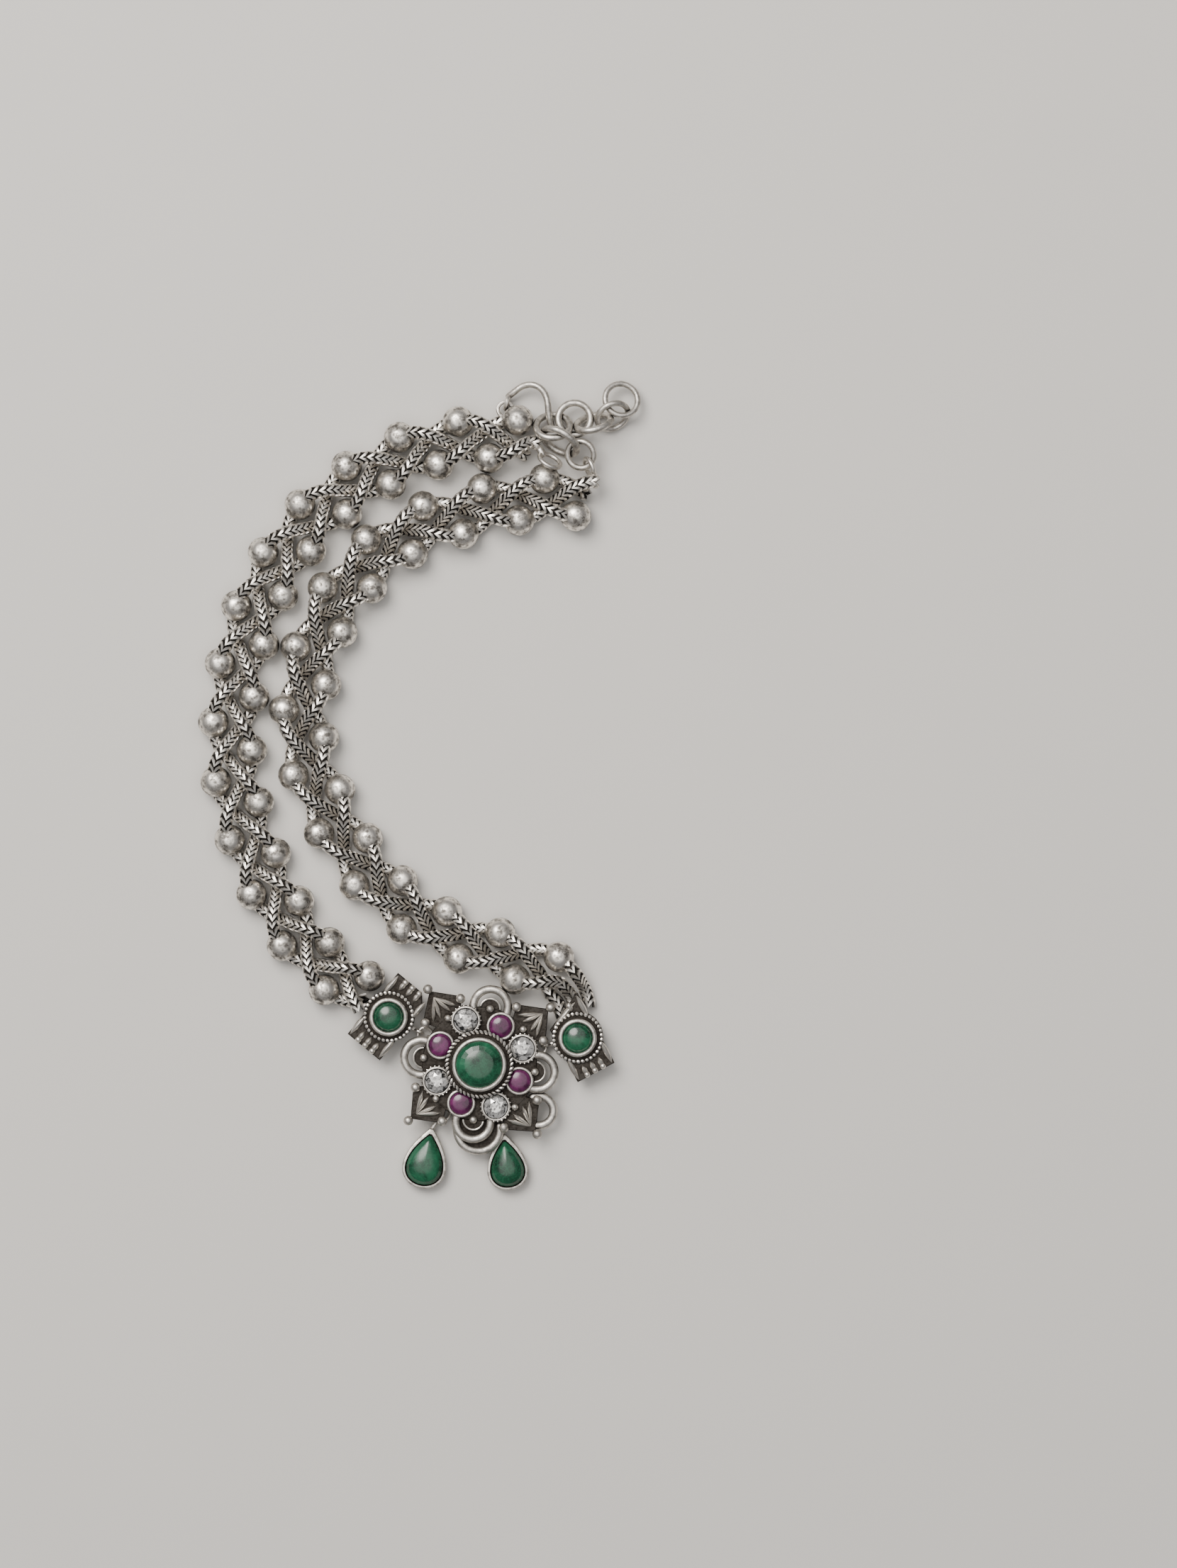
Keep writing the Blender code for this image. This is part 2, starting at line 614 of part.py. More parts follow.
def make_medallion(silver):
    plate_top = PLATE_BOTTOM + PLATE_T
    drum_top = plate_top + DRUM_HEIGHT
    rope = frame_at(Vector((0, 0, drum_top + SEAT)))
    shapes = [
        new_object("boss", turned, [(BOSS_RADIUS, 0), (BOSS_RADIUS, PLATE_BOTTOM + SEAT)], 20),
        new_object("plate", turned, [(PLATE_RADIUS, PLATE_BOTTOM), (PLATE_RADIUS, plate_top)], 24),
        new_object("drum", turned, [(DRUM_RADIUS, PLATE_BOTTOM + PLATE_T / 2), (DRUM_RADIUS, drum_top)], 20),
        new_object("rope", wire_arc, ROPE_RADIUS, ROPE_WIRE, 180, 20, rope, THIN_SIDES),
    ]
    seat = MAIN_STONE_D / 2 + STONE_GAP
    rim = (seat, seat + MAIN_BEZEL_WALL, drum_top - 1.5 * SEAT, drum_top + MAIN_BEZEL_HEIGHT)
    shapes.append(new_object("main_bezel", bezel, *rim, 16, frame_at(Vector())))
    for name, place, size in small_settings(plate_top):
        seat = size / 2 + STONE_GAP
        rim = (seat, seat + SMALL_BEZEL_WALL, plate_top - 3 * SEAT, plate_top + SMALL_BEZEL_HEIGHT)
        shapes.append(new_object(f"{name}_bezel", bezel, *rim, STONE_STEPS, frame_at(place)))
    for number, quarter in enumerate(FLOWER_QUARTERS, 1):
        shapes += leaf_shapes(number, quarter["leaf"], plate_top)
        shapes += crescent_shapes(number, quarter["crescent"], plate_top)
    shapes += back_shapes()
    for name, angle in link_angles():
        shapes += eyelet_shapes(name, polar(INNER_EYELET_ORBIT, angle, LINK_Z), angle)
    return soldered("medallion", shapes, silver)


def make_medallion_stones(green, purple, white):
    plate_top = PLATE_BOTTOM + PLATE_T
    base = plate_top + DRUM_HEIGHT + STONE_GAP
    table = MAIN_STONE_D * MAIN_TABLE_SHARE
    finish(new_object("main_stone", cut_stone, MAIN_STONE_D, table, base, MAIN_STONE_HEIGHT, 16), green)
    for name, place, size in small_settings(plate_top):
        bright = name.startswith("white")
        height = SMALL_STONE_HEIGHT if bright else SMALL_STONE_HEIGHT - STONE_GAP
        table = size * SMALL_TABLE_SHARE
        at = frame_at(place)
        stone = new_object(name, cut_stone, size, table, plate_top + STONE_GAP, height, STONE_STEPS, at)
        finish(stone, white if bright else purple)


def box_middle(box):
    return polar(OUTER_EYELET_ORBIT + box["reach"], box["angle"])


def box_outline(box):
    """The box's plate, anticlockwise from its back, with one corner cut off."""
    length, width, end = BOX_HALF_LENGTH, BOX_HALF_WIDTH, box["cut_end"]
    cut_length = 2 * length * box["cut_length"]
    cut_width = 2 * width * box["cut_width"]
    outline = [
        (-length, -end * width), (length, -end * width), (length, end * (width - cut_width)),
        (length - cut_length, end * width), (-length, end * width),
    ]
    return outline if end > 0 else outline[::-1]


def box_ridges(box):
    """(start, end) in the box's frame of its long leaf-shaped ridges and its short ribs."""
    length, width, end = BOX_HALF_LENGTH, BOX_HALF_WIDTH, box["cut_end"]
    inner = width * 0.31
    outer = width - 0.5 * RIDGE_INSET
    edge = length - RIDGE_INSET
    for side in (-1, 1):
        yield (-edge, side * inner), (-edge, side * outer)
    for side in box["whole_ends"]:
        yield (edge, side * inner), (edge, side * (outer - width * 0.1 * (side == end)))
        for place in (-RIB_SPACING, 0, RIB_SPACING):
            yield (place, side * (width - RIB_LENGTH)), (place, side * (width - RIDGE_INSET / 2))
    if end not in box["whole_ends"]:
        drop = 2 * width * box["cut_width"]
        yield (length * 0.8, end * (width - drop)), (-length * 0.7, end * (width - 0.35 * drop))
        yield (-length * 0.35, end * width * 0.64), (-length * 0.35, end * width * 0.84)


def make_box(box, silver, green):
    place = frame_at(box_middle(box), box["turn"])
    name = f"side_box_{box['side']}"
    top = PLATE_BOTTOM + BOX_PLATE_T
    flat = [place @ Vector((*corner, 0)) for corner in box_outline(box)]
    outline = [(corner.x, corner.y) for corner in flat]
    back = [(BOX_BACK_RADIUS, 0), (BOX_BACK_RADIUS, PLATE_BOTTOM + SEAT)]
    drum = [(BOX_ROPE_RADIUS, PLATE_BOTTOM + SEAT / 2), (BOX_ROPE_RADIUS, top + SEAT)]
    rope = place @ Matrix.Translation((0, 0, top + 1.5 * SEAT))
    shapes = [
        new_object(name, turned, back, 16, place),
        new_object(f"{name}_plate", prism, outline, PLATE_BOTTOM, top),
        new_object(f"{name}_drum", turned, drum, 16, place),
        new_object(f"{name}_rope", wire_arc, BOX_ROPE_RADIUS, ROPE_WIRE, 180, 16, rope, THIN_SIDES),
    ]
    seat = BOX_STONE_D / 2 + STONE_GAP
    rim = (seat, seat + BOX_BEZEL_WALL, top - SEAT, top + BOX_BEZEL_HEIGHT)
    shapes.append(new_object(f"{name}_bezel", bezel, *rim, 12, place))
    for number, (start, end) in enumerate(box_ridges(box)):
        ends = (place @ Vector((*start, top)), place @ Vector((*end, top)))
        shapes.append(new_object(f"{name}_ridge_{number}", petal, *ends, RIDGE_WIDTH, RIDGE_HEIGHT, 0.5))
    angle = box["angle"]
    neck = OUTER_EYELET_ORBIT + box["reach"] - BOX_BACK_RADIUS + NECK_DEPTH
    at = polar(OUTER_EYELET_ORBIT, angle, LINK_Z)
    shapes += eyelet_shapes(name, at, angle, polar(neck, angle, LINK_Z))
    soldered(name, shapes, silver)
    stone = new_object(
        f"box_stone_{box['side']}", cut_stone, BOX_STONE_D, BOX_STONE_D * BOX_TABLE_SHARE,
        top + SEAT + STONE_GAP, BOX_STONE_HEIGHT + SEAT, 12, place,
    )
    finish(stone, green)


def teardrop(length, width, tip, height, matrix):
    """A pear outline that starts at its tip and runs towards -Y."""
    widest = math.acos(-DROP_FULLNESS / (DROP_FULLNESS + 2))
    share = math.sin(widest) * math.sin(widest / 2) ** DROP_FULLNESS
    points = []
    for k in range(DROP_POINTS):
        turn = math.radians(DROP_BLUNT + (360 - 2 * DROP_BLUNT) * k / (DROP_POINTS - 1))
        across = math.sin(turn) * math.sin(turn / 2) ** DROP_FULLNESS * width / 2 / share
        points.append(matrix @ Vector((across, -tip - length / 2 * (1 - math.cos(turn)), height)))
    return points[::-1]


def pear(bm, drop, inset, tip, levels, matrix):
    """A pear solid from (height, further inset) pairs that run upwards."""
    rings = []
    for height, more in levels:
        length = drop["length"] - tip - inset - 2 * more
        width = drop["width"] - 2 * inset - 2 * more
        rings.append(teardrop(length, width, tip + more, height, matrix))
    loft(bm, rings)


def pear_cup(bm, drop, matrix):
    inner_length = drop["length"] - DROP_TIP_WALL - DROP_BEZEL_WALL
    inner_width = drop["width"] - 2 * DROP_BEZEL_WALL
    bottom, top = FLOOR_GAP, FLOOR_GAP + DROP_BEZEL_HEIGHT
    rings = [teardrop(drop["length"], drop["width"], 0, height, matrix) for height in (bottom, top)]
    floor = bottom + DROP_FLOOR_T
    rings += [teardrop(inner_length, inner_width, DROP_TIP_WALL, height, matrix) for height in (top, floor)]
    loft(bm, rings)


def make_drop(drop, silver, green):
    tip = polar(OUTER_EYELET_ORBIT + drop["reach"], drop["angle"])
    place = frame_at(tip, drop["lean"])
    name = f"drop_{drop['side']}"
    at = polar(OUTER_EYELET_ORBIT, drop["angle"], LINK_Z)
    neck = place @ Vector((0, -DROP_TIP_WALL / 2, LINK_Z))
    shapes = [new_object(name, pear_cup, drop, place), *eyelet_shapes(name, at, drop["angle"], neck)]
    soldered(name, shapes, silver)
    base = FLOOR_GAP + DROP_FLOOR_T + STONE_GAP
    levels = [
        (base, drop["width"] * DROP_FOOT_SHARE), (base + GIRDLE_SHARE * DROP_STONE_HEIGHT, 0),
        (base + DROP_STONE_HEIGHT, drop["width"] * DROP_CROWN_SHARE),
    ]
    stone = new_object(
        f"drop_stone_{drop['side']}", pear, drop, DROP_BEZEL_WALL + STONE_GAP, DROP_TIP_WALL + 2 * STONE_GAP,
        levels, place,
    )
    finish(stone, green)


def make_links(silver):
    for name, angle in link_angles():
        at = frame_at(polar(LINK_ORBIT, angle, LINK_Z), angle)
        ring = new_object(name, wire_arc, LINK_RADIUS, LINK_WIRE, 180, LINK_STEPS, at, THIN_SIDES)
        finish(ring, silver)


def ring_matrix(ring):
    tilt = math.radians(ring["tilt"])
    axis = polar(math.sin(tilt), ring["azimuth"], math.cos(tilt))
    return facing(Vector(ring["at"]) * MM, axis)


def ring_shape(name, ring):
    size = (ring["radius"] * MM, ring["wire"] * MM)
    return new_object(name, wire_arc, *size, 180, RING_STEPS, ring_matrix(ring), THIN_SIDES)


def end_ring_shapes(name, ring, strand_end, inward):
    """The ring at the end of an arm and the neck that joins it to its strand."""
    yield ring_shape(f"{name}_ring", ring)
    matrix = ring_matrix(ring)
    across = matrix.inverted() @ strand_end
    across.z = 0
    nearest = matrix @ (across.normalized() * ring["radius"] * MM)
    yield new_object(f"{name}_neck", rod, strand_end + inward * END_NECK_DEPTH, nearest, END_NECK_WIRE)


def arm_route(name):
    """The arm's centreline, which ends at its box."""
    middle = box_middle(SIDE_BOXES[ARMS[name]["box"]]) / MM
    return ROUTES_MM[name] + [(middle.x + x, middle.y + y) for x, y in ROUTE_ENDS_MM[name]]


def make_arm(name, end_ring, silver, first_strand_shapes=()):
    """The three strands of an arm, each with its balls, and the end ring on one of them."""
    arm = ARMS[name]
    plait = Plait(arm_route(name), arm)
    for strand in (1, 2, 3):
        label = f"{name}_strand_{strand}"
        spots = plait.strand_points(strand, 0 if strand == arm["ring_strand"] else SIDE_LEAD)
        shapes = [round_wire(label, spots, 3)]
        if strand == arm["ring_strand"]:
            start, after = spots[0][0], spots[1][0]
            shapes += end_ring_shapes(label, end_ring, start, (after - start).normalized())
        if strand == 1:
            shapes += first_strand_shapes
        soldered(label, shapes, silver)


def hook_place():
    """The middle of the hook's eye, on the wire of the outer arm's flat eyelet."""
    return Vector(HOOK_EYELET_MM) * MM + polar(HOOK_EYELET_RADIUS, HOOK_WAY)


def hook_eyelet():
    at = frame_at(Vector(HOOK_EYELET_MM) * MM)
    return new_object(
        "hook_eyelet", wire_arc, HOOK_EYELET_RADIUS, HOOK_EYELET_WIRE, 180, LINK_STEPS, at, THIN_SIDES
    )


def make_hook(silver):
    place = hook_place()
    start = place + polar(HOOK_EYE_RADIUS, HOOK_WAY)
    route = along([start, *(Vector(point) * MM for point in HOOK_ROUTE_MM)], 2)
    wire = round_wire("hook_wire", [(point, HOOK_WIRE / 2) for point in route])
    upright = frame_at(place, HOOK_WAY) @ Matrix.Rotation(math.radians(90), 4, "X")
    eye = new_object("hook_eye", wire_arc, HOOK_EYE_RADIUS, HOOK_EYE_WIRE, 180, LINK_STEPS, upright)
    soldered("clasp_hook", [wire, eye], silver)


def make_rings(silver):
    for name, ring in RINGS.items():
        finish(ring_shape(name, ring), silver)


def main():
    clear_scene()
    silver = make_material("silver", (0.72, 0.70, 0.67), 0.35, 1.0)
    green = make_material("green_stone", (0.02, 0.24, 0.12), 0.08, 0.0)
    purple = make_material("purple_stone", (0.32, 0.03, 0.22), 0.08, 0.0)
    white = make_material("white_stone", (0.85, 0.86, 0.88), 0.05, 0.0)
    make_medallion(silver)
    make_medallion_stones(green, purple, white)
    for box in SIDE_BOXES:
        make_box(box, silver, green)
    for drop in DROPS:
        make_drop(drop, silver, green)
    make_links(silver)
    make_arm("outer", OUTER_END_RING, silver, [hook_eyelet()])
    make_arm("inner", INNER_END_RING, silver)
    make_hook(silver)
    make_rings(silver)


main()
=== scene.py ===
"""Payal anklet, dressed: foxtail chain on the plaited strands, satin balls, the flower medallion's fine work,
its stones, and the rings and hook of the clasp. All sizes are in metres and in the frame of the solids.
"""

import math
import random

import bmesh
import bpy
from bpy.props import FloatProperty, FloatVectorProperty, IntProperty, PointerProperty
from mathutils import Matrix, Vector
from mathutils.geometry import interpolate_bezier


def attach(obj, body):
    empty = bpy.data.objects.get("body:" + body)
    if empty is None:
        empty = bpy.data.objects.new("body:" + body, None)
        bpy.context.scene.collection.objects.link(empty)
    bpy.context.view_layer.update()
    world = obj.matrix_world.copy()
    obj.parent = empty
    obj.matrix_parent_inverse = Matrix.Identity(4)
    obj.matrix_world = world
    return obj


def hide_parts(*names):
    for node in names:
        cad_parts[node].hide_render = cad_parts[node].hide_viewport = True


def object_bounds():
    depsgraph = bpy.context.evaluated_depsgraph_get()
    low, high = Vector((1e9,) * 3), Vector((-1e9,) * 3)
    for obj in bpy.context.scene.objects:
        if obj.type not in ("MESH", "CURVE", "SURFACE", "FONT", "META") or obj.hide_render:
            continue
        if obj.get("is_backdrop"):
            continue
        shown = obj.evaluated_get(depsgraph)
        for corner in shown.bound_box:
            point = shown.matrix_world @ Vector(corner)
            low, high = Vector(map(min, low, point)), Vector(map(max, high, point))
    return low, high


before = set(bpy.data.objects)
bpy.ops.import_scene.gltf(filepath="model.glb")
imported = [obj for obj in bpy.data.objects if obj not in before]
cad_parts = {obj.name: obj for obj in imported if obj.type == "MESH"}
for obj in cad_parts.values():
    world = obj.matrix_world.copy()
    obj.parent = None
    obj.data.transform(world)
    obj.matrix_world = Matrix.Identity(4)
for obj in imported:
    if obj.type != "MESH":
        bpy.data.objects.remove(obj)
CAD_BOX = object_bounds()

bl_info = {
    "name": "Payal anklet",
    "version": (1, 0, 0),
    "blender": (4, 5, 0),
    "location": "View3D > Sidebar > Anklet",
    "description": "Foxtail chain, balls, flower work, stones and rings for the anklet's solids",
    "category": "Add Mesh",
}

MM = 0.001

# Plaited arms, as in the part
STRAND_D = 1.8 * MM
STRAND_GAP = 0.5 * MM
STRAND_REACH = 2.25 * MM
BALL_D = 4.0 * MM
BALL_REACH = 2.5 * MM
TAIL_SPACING = 1.95 * MM
FLOOR_GAP = 0.05 * MM
SIDE_LEAD = 1.3 * MM
OUTER_BEND = 0.99
TAIL_EASE = 1.6
ROUTE_STEPS = 40
PATH_STEP = 0.3 * MM
# A strand bends to a ball's middle from this many ball diameters away
THREADED = 1.3
ARMS = {
    "outer": {
        "step": 3.66 * MM, "first": 2.6 * MM, "last": 1.0 * MM, "side": -1, "hand": 1, "ring_strand": 3,
    },
    "inner": {
        "step": 3.86 * MM, "first": 2.43 * MM, "last": 5.8 * MM, "side": 1, "hand": -1, "ring_strand": 2,
    },
}
ROUTES_MM = {
    "outer": [
        (7.4, 80.3), (4.8, 80.8), (-2.3, 80.7), (-9.4, 78.8), (-16.1, 75.1), (-22.0, 70.1),
        (-26.6, 63.7), (-29.7, 56.9), (-31.4, 49.8), (-32.0, 42.3), (-31.4, 35.0), (-29.4, 28.1),
        (-26.4, 21.3), (-22.2, 15.0), (-17.6, 10.7), (-14.8, 8.7),
    ],
    "inner": [
        (14.8, 73.3), (12.2, 73.4), (5.2, 72.9), (-1.8, 71.3), (-8.6, 68.9), (-14.0, 65.1),
        (-19.0, 59.0), (-21.9, 51.5), (-22.8, 43.5), (-20.9, 35.8), (-17.1, 28.6), (-12.1, 22.3),
        (-6.0, 17.8), (1.2, 14.8), (8.4, 12.0), (11.5, 9.2), (12.3, 7.2),
    ],
}
END_RINGS = {
    "outer": {"at": (9.1, 78.0, 3.1), "tilt": 60, "azimuth": 61, "radius": 1.45, "wire": 0.6},
    "inner": {"at": (14.2, 77.18, 2.53), "tilt": 71, "azimuth": 202, "radius": 1.2, "wire": 0.6},
}

# Medallion, as in the part
PLATE_BOTTOM = 2.2 * MM
PLATE_TOP = 2.9 * MM
PLATE_RADIUS = 7.4 * MM
BOSS_RADIUS = 6.5 * MM
DRUM_RADIUS = 4.05 * MM
DRUM_TOP = 3.75 * MM
ROPE_RADIUS = 4.17 * MM
MAIN_STONE_D = 6.0 * MM
MAIN_STONE_HEIGHT = 1.65 * MM
MAIN_BEZEL_TOP = 4.75 * MM
MAIN_BEZEL_WALL = 0.4 * MM
WHITE_ORBIT, WHITE_STONE_D = 5.9 * MM, 3.05 * MM
PURPLE_ORBIT, PURPLE_STONE_D = 5.6 * MM, 2.9 * MM
SMALL_BEZEL_WALL = 0.28 * MM
SMALL_BEZEL_HEIGHT = 0.5 * MM
SMALL_STONE_HEIGHT = 0.8 * MM
SMALL_GIRDLE = 0.4 * MM
LEAF_TIP = 11.4 * MM
LEAF_FLANK = 9.05 * MM
LEAF_FLANK_ANGLE = 19.5
LEAF_FAN = ((-35, 3.3 * MM), (-16, 2.9 * MM), (16, 2.9 * MM), (35, 3.3 * MM))
LEAF_WIDTH = 0.76 * MM
LEAF_HEIGHT = 0.5 * MM
LARGE_BEAD_D = 1.15 * MM
SMALL_BEAD_D = 0.85 * MM
BEAD_ORBITS = {"tip": 11.75 * MM, "flank": 8.8 * MM, "leaf": 7.2 * MM, "crescent": 7.25 * MM}
FLANK_BEAD_ANGLE = 18.4
LOBE_RADIUS = 1.4 * MM
CRESCENT = {"orbit": 7.55 * MM, "radius": 2.25 * MM, "wire": 1.06 * MM, "half_angle": 104}
INNER_RIM = {"radius": 1.3 * MM, "wire": 0.28 * MM, "half_angle": 82}
BACK_CRESCENT = {
    "orbit": 8.5 * MM, "radius": 2.8 * MM, "wire": 1.0 * MM, "angle": 269, "half_angle": 100, "z": 2.45 * MM,
}
BACK_PLATE_T = 0.4 * MM
CRESCENT_SINK = 0.14 * MM
HALF_MOON = {
    "orbit": 9.8 * MM, "radius": 1.9 * MM, "wire": 1.1 * MM, "angle": -38.5, "half_angle": 114, "z": 2.3 * MM,
}
FLOWER_QUARTERS = (
    {"leaf": 38.5, "crescent": 79.0, "white": 19.6, "purple": 60.5},
    {"leaf": 124.5, "crescent": 173.7, "white": 107.3, "purple": 154.3},
    {"leaf": 218.5, "crescent": 263.7, "white": 201.9, "purple": 245.0},
    {"leaf": 309.5, "crescent": 351.9, "white": 291.0, "purple": 337.1},
)

# Side boxes, as in the part
BOX_HALF_LENGTH = 2.7 * MM
BOX_HALF_WIDTH = 5.1 * MM
BOX_PLATE_TOP = 3.0 * MM
BOX_BACK_RADIUS = 3.3 * MM
BOX_ROPE_RADIUS = 3.1 * MM
BOX_STONE_D = 3.85 * MM
BOX_BEZEL_WALL = 0.45 * MM
BOX_BEZEL_HEIGHT = 1.1 * MM
BOX_STONE_HEIGHT = 1.35 * MM
RIDGE_WIDTH = 0.75 * MM
RIDGE_HEIGHT = 0.8 * MM
RIDGE_INSET = 0.3 * MM
RIB_LENGTH = 1.7 * MM
RIB_SPACING = 1.15 * MM
RIB_BEAD_D = 0.85 * MM
SIDE_BOXES = (
    {
        "side": "left", "angle": 152.47, "reach": 4.317 * MM, "turn": -39.6,
        "cut_end": 1, "cut_length": 0.25, "cut_width": 0.15, "whole_ends": (-1, 1),
    },
    {
        "side": "right", "angle": 14.99, "reach": 4.247 * MM, "turn": 208.0,
        "cut_end": -1, "cut_length": 0.96, "cut_width": 0.247, "whole_ends": (1,),
    },
)

# Pear drops, as in the part
DROP_BEZEL_WALL = 0.42 * MM
DROP_BEZEL_HEIGHT = 1.65 * MM
DROP_FLOOR_T = 0.75 * MM
DROP_STONE_HEIGHT = 1.75 * MM
DROP_TIP_WALL = 0.8 * MM
DROP_FULLNESS = 1.0
DROP_BLUNT = 20
DROPS = (
    {
        "side": "left", "angle": 233.2, "reach": 1.4 * MM, "lean": -11.0,
        "length": 8.1 * MM, "width": 5.7 * MM,
    },
    {
        "side": "right", "angle": -71.3, "reach": 0.6 * MM, "lean": 6.8,
        "length": 7.5 * MM, "width": 5.3 * MM,
    },
)

# Links below the medallion, as in the part
LINK_Z = 0.95 * MM
LINK_RADIUS = 0.95 * MM
LINK_WIRE = 0.4 * MM
EYELET_RADIUS = 0.55 * MM
EYELET_WIRE = 0.36 * MM
INNER_EYELET_ORBIT = BOSS_RADIUS + EYELET_RADIUS - 0.05 * MM
LINK_ORBIT = INNER_EYELET_ORBIT + LINK_RADIUS
OUTER_EYELET_ORBIT = LINK_ORBIT + LINK_RADIUS
NECK_WIRE = 0.6 * MM
NECK_DEPTH = 0.4 * MM

# Clasp, as in the part
HOOK_WIRE = 0.85 * MM
HOOK_EYE_RADIUS = 0.85 * MM
HOOK_EYE_WIRE = 0.6 * MM
HOOK_EYELET_MM = (3.3, 84.75, 1.25)
HOOK_EYELET_RADIUS = 0.95 * MM
HOOK_EYELET_WIRE = 0.5 * MM
HOOK_WAY = 75
HOOK_ROUTE_MM = [
    (4.6, 87.1, 1.6), (5.6, 87.75, 1.85), (6.8, 87.9, 2.2), (7.9, 87.4, 2.45), (8.6, 86.4, 2.5),
    (8.85, 85.2, 2.55), (8.95, 84.15, 2.45), (9.15, 83.1, 2.15), (9.45, 82.15, 1.85),
]
RINGS = {
    "clasp_ring": {"at": (9.5, 82.47, 2.64), "tilt": 43, "azimuth": 92, "radius": 2.2, "wire": 0.7},
    "bar_ring": {"at": (10.39, 80.51, 2.69), "tilt": 64, "azimuth": 240, "radius": 2.45, "wire": 0.75},
    "arm_ring": {"at": (13.09, 78.82, 2.57), "tilt": 19, "azimuth": 225, "radius": 1.75, "wire": 0.6},
    "extension_ring_1": {"at": (12.28, 83.47, 2.25), "tilt": 6, "azimuth": 100, "radius": 2.1, "wire": 0.7},
    "extension_ring_2": {"at": (14.75, 82.94, 2.51), "tilt": 63, "azimuth": 104, "radius": 2.3, "wire": 0.7},
    "extension_ring_3": {"at": (17.21, 83.83, 2.1), "tilt": 47, "azimuth": 296, "radius": 2.1, "wire": 0.6},
    "extension_ring_4": {"at": (18.36, 85.96, 2.22), "tilt": 18, "azimuth": 49, "radius": 2.15, "wire": 0.6},
}
END_NECK_WIRE = 1.0 * MM
END_NECK_DEPTH = 0.5 * MM

# Fineness of the visible meshes
WIRE_SIDES = 12
THICK_SIDES = 14
EYE_SIDES = 10
THIN_SIDES = 8
RING_STEPS = 56
END_RING_STEPS = 40
ARC_STEPS = 36
LINK_STEPS = 32
EYELET_STEPS = 24
TURN_STEPS = 64
SMALL_TURN_STEPS = 48
LOBE_STEPS = 32
BEZEL_STEPS = 40
ROPE_STEPS = 96
DROP_STEPS = 64
STONE_SIDES = {"main": 16, "small": 14, "box": 14, "drop": 22}

# Forms of the fine work
EASE = 0.1 * MM
SEAT_GAP = 0.1 * MM
SINK = 0.3 * MM
PLATE_EDGE = 0.12 * MM
DROP_EASE = 0.14 * MM
GIRDLE_SHARE = 0.45
RING_FULLNESS = 1.28
# (share of the radius past the end, share of the radius) of the rings that round a wire's end
WIRE_END = ((0.5, 0.87), (0.87, 0.5), (0.99, 0.14))
LIP_ROUND = 0.8
LIP_OVER = {"main": 0.12 * MM, "small": 0.08 * MM, "box": 0.1 * MM}
PETAL_END, PETAL_SWELL, PETAL_ROUND = 0.02, 0.8, 1.4
PETAL = {"width": 0.86, "height": 1.8, "fullest": 0.66}
RIDGE_SWELL = 1.1
# Granules: length and width as shares of their spacing, height, slant in degrees and the wire under them
ROPE = {"length": 1.45, "width": 0.8, "height": 0.56 * MM, "slant": 38, "core": 0.2 * MM}
BOX_ROPE = {"length": 1.05, "width": 0.95, "height": 0.54 * MM, "slant": 20, "core": 0.15 * MM}
MILLED_BEAD = (0.3 * MM, 0.36 * MM, 0.4 * MM)
MILLING_HEIGHT, MILLING_CORE = 0.3 * MM, 0.08 * MM
BEAD_SWELL, CRESCENT_BEAD_SWELL, BEAD_LIFT = 1.1, 1.2, 0.2
LINK = {"points": 16, "sides": 4, "groove": 0.93, "shoulder": 0.13, "wire_swell": 1.1}
CHAIN_CORE = STRAND_D * 0.32
CHAIN_SPREAD = 0.05
BALL_SEGMENTS, BALL_RINGS = 28, 16
# A stone's foot, the two bands of its crown as (inset, share of the rise), and a brilliant's rings
STONE_FOOT, STONE_FLANK = 0.12, 0.25
PEAR_HEART = 0.62
STONE_CROWN = ((0.16, 0.42), (0.36, 0.72))
BRILLIANT = {"foot": 0.8, "girdle": 0.5, "star": 0.78, "star_rise": 0.55, "table": 0.5}
# Painted glints of the white stones: the range of each facet's random brightness, and the table's
GLINT_RANGE, TABLE_GLINT = (-0.15, 0.45), 0.15

# Silver finishes. wear is how much of the mottling shows, recess how far in millimetres the black of oxide and
# painted shade reaches out of a corner, crown the two stops of the painted shade below the crown of balls,
# links and granules (with oxide too on links and granules), and rubbed the brightness at most
SILVERS = {
    "polished_silver": {
        "roughness": 0.3, "wear": 0.5, "recess": 0.6, "mottle": 1300.0, "pits": 3200.0, "rubbed": 0.72,
    },
    "plate_silver": {
        "roughness": 0.5, "wear": 0.85, "recess": 1.2, "mottle": 1500.0, "pits": 2600.0, "pit_size": 0.45,
        "relief": 0.05, "rubbed": 0.04,
    },
    "back_silver": {"roughness": 0.38, "wear": 0.5, "recess": 0.8, "mottle": 700.0, "pits": 1500.0},
    "trim_silver": {
        "roughness": 0.3, "wear": 0.3, "recess": 0.28, "mottle": 1400.0, "pits": 3000.0, "rubbed": 0.85,
    },
    # Its crown stops are painted shade: the balls are darker on their lower sides and bright over their tops
    "ball_silver": {
        "roughness": 0.32, "wear": 0.85, "recess": 0.8, "mottle": 1000.0, "pits": 1400.0, "pit_size": 0.42,
        "relief": 0.03, "crown": ((0.3, 0.15), (0.62, 1.0)),
    },
    # Its crown stops darken each link's inner side: blackened oxide and painted shade between the links
    "chain_silver": {
        "roughness": 0.38, "wear": 0.2, "recess": 0.55, "mottle": 1300.0, "pits": 3000.0,
        "crown": ((0.15, 0.05), (0.8, 1.0)),
    },
    # Its crown stops darken the granules' flanks: blackened oxide and painted shade between the granules
    "granule_silver": {
        "roughness": 0.28, "wear": 0.2, "recess": 0.5, "mottle": 1300.0, "pits": 3000.0,
        "crown": ((0.2, 0.0), (0.7, 1.0)),
    },
}
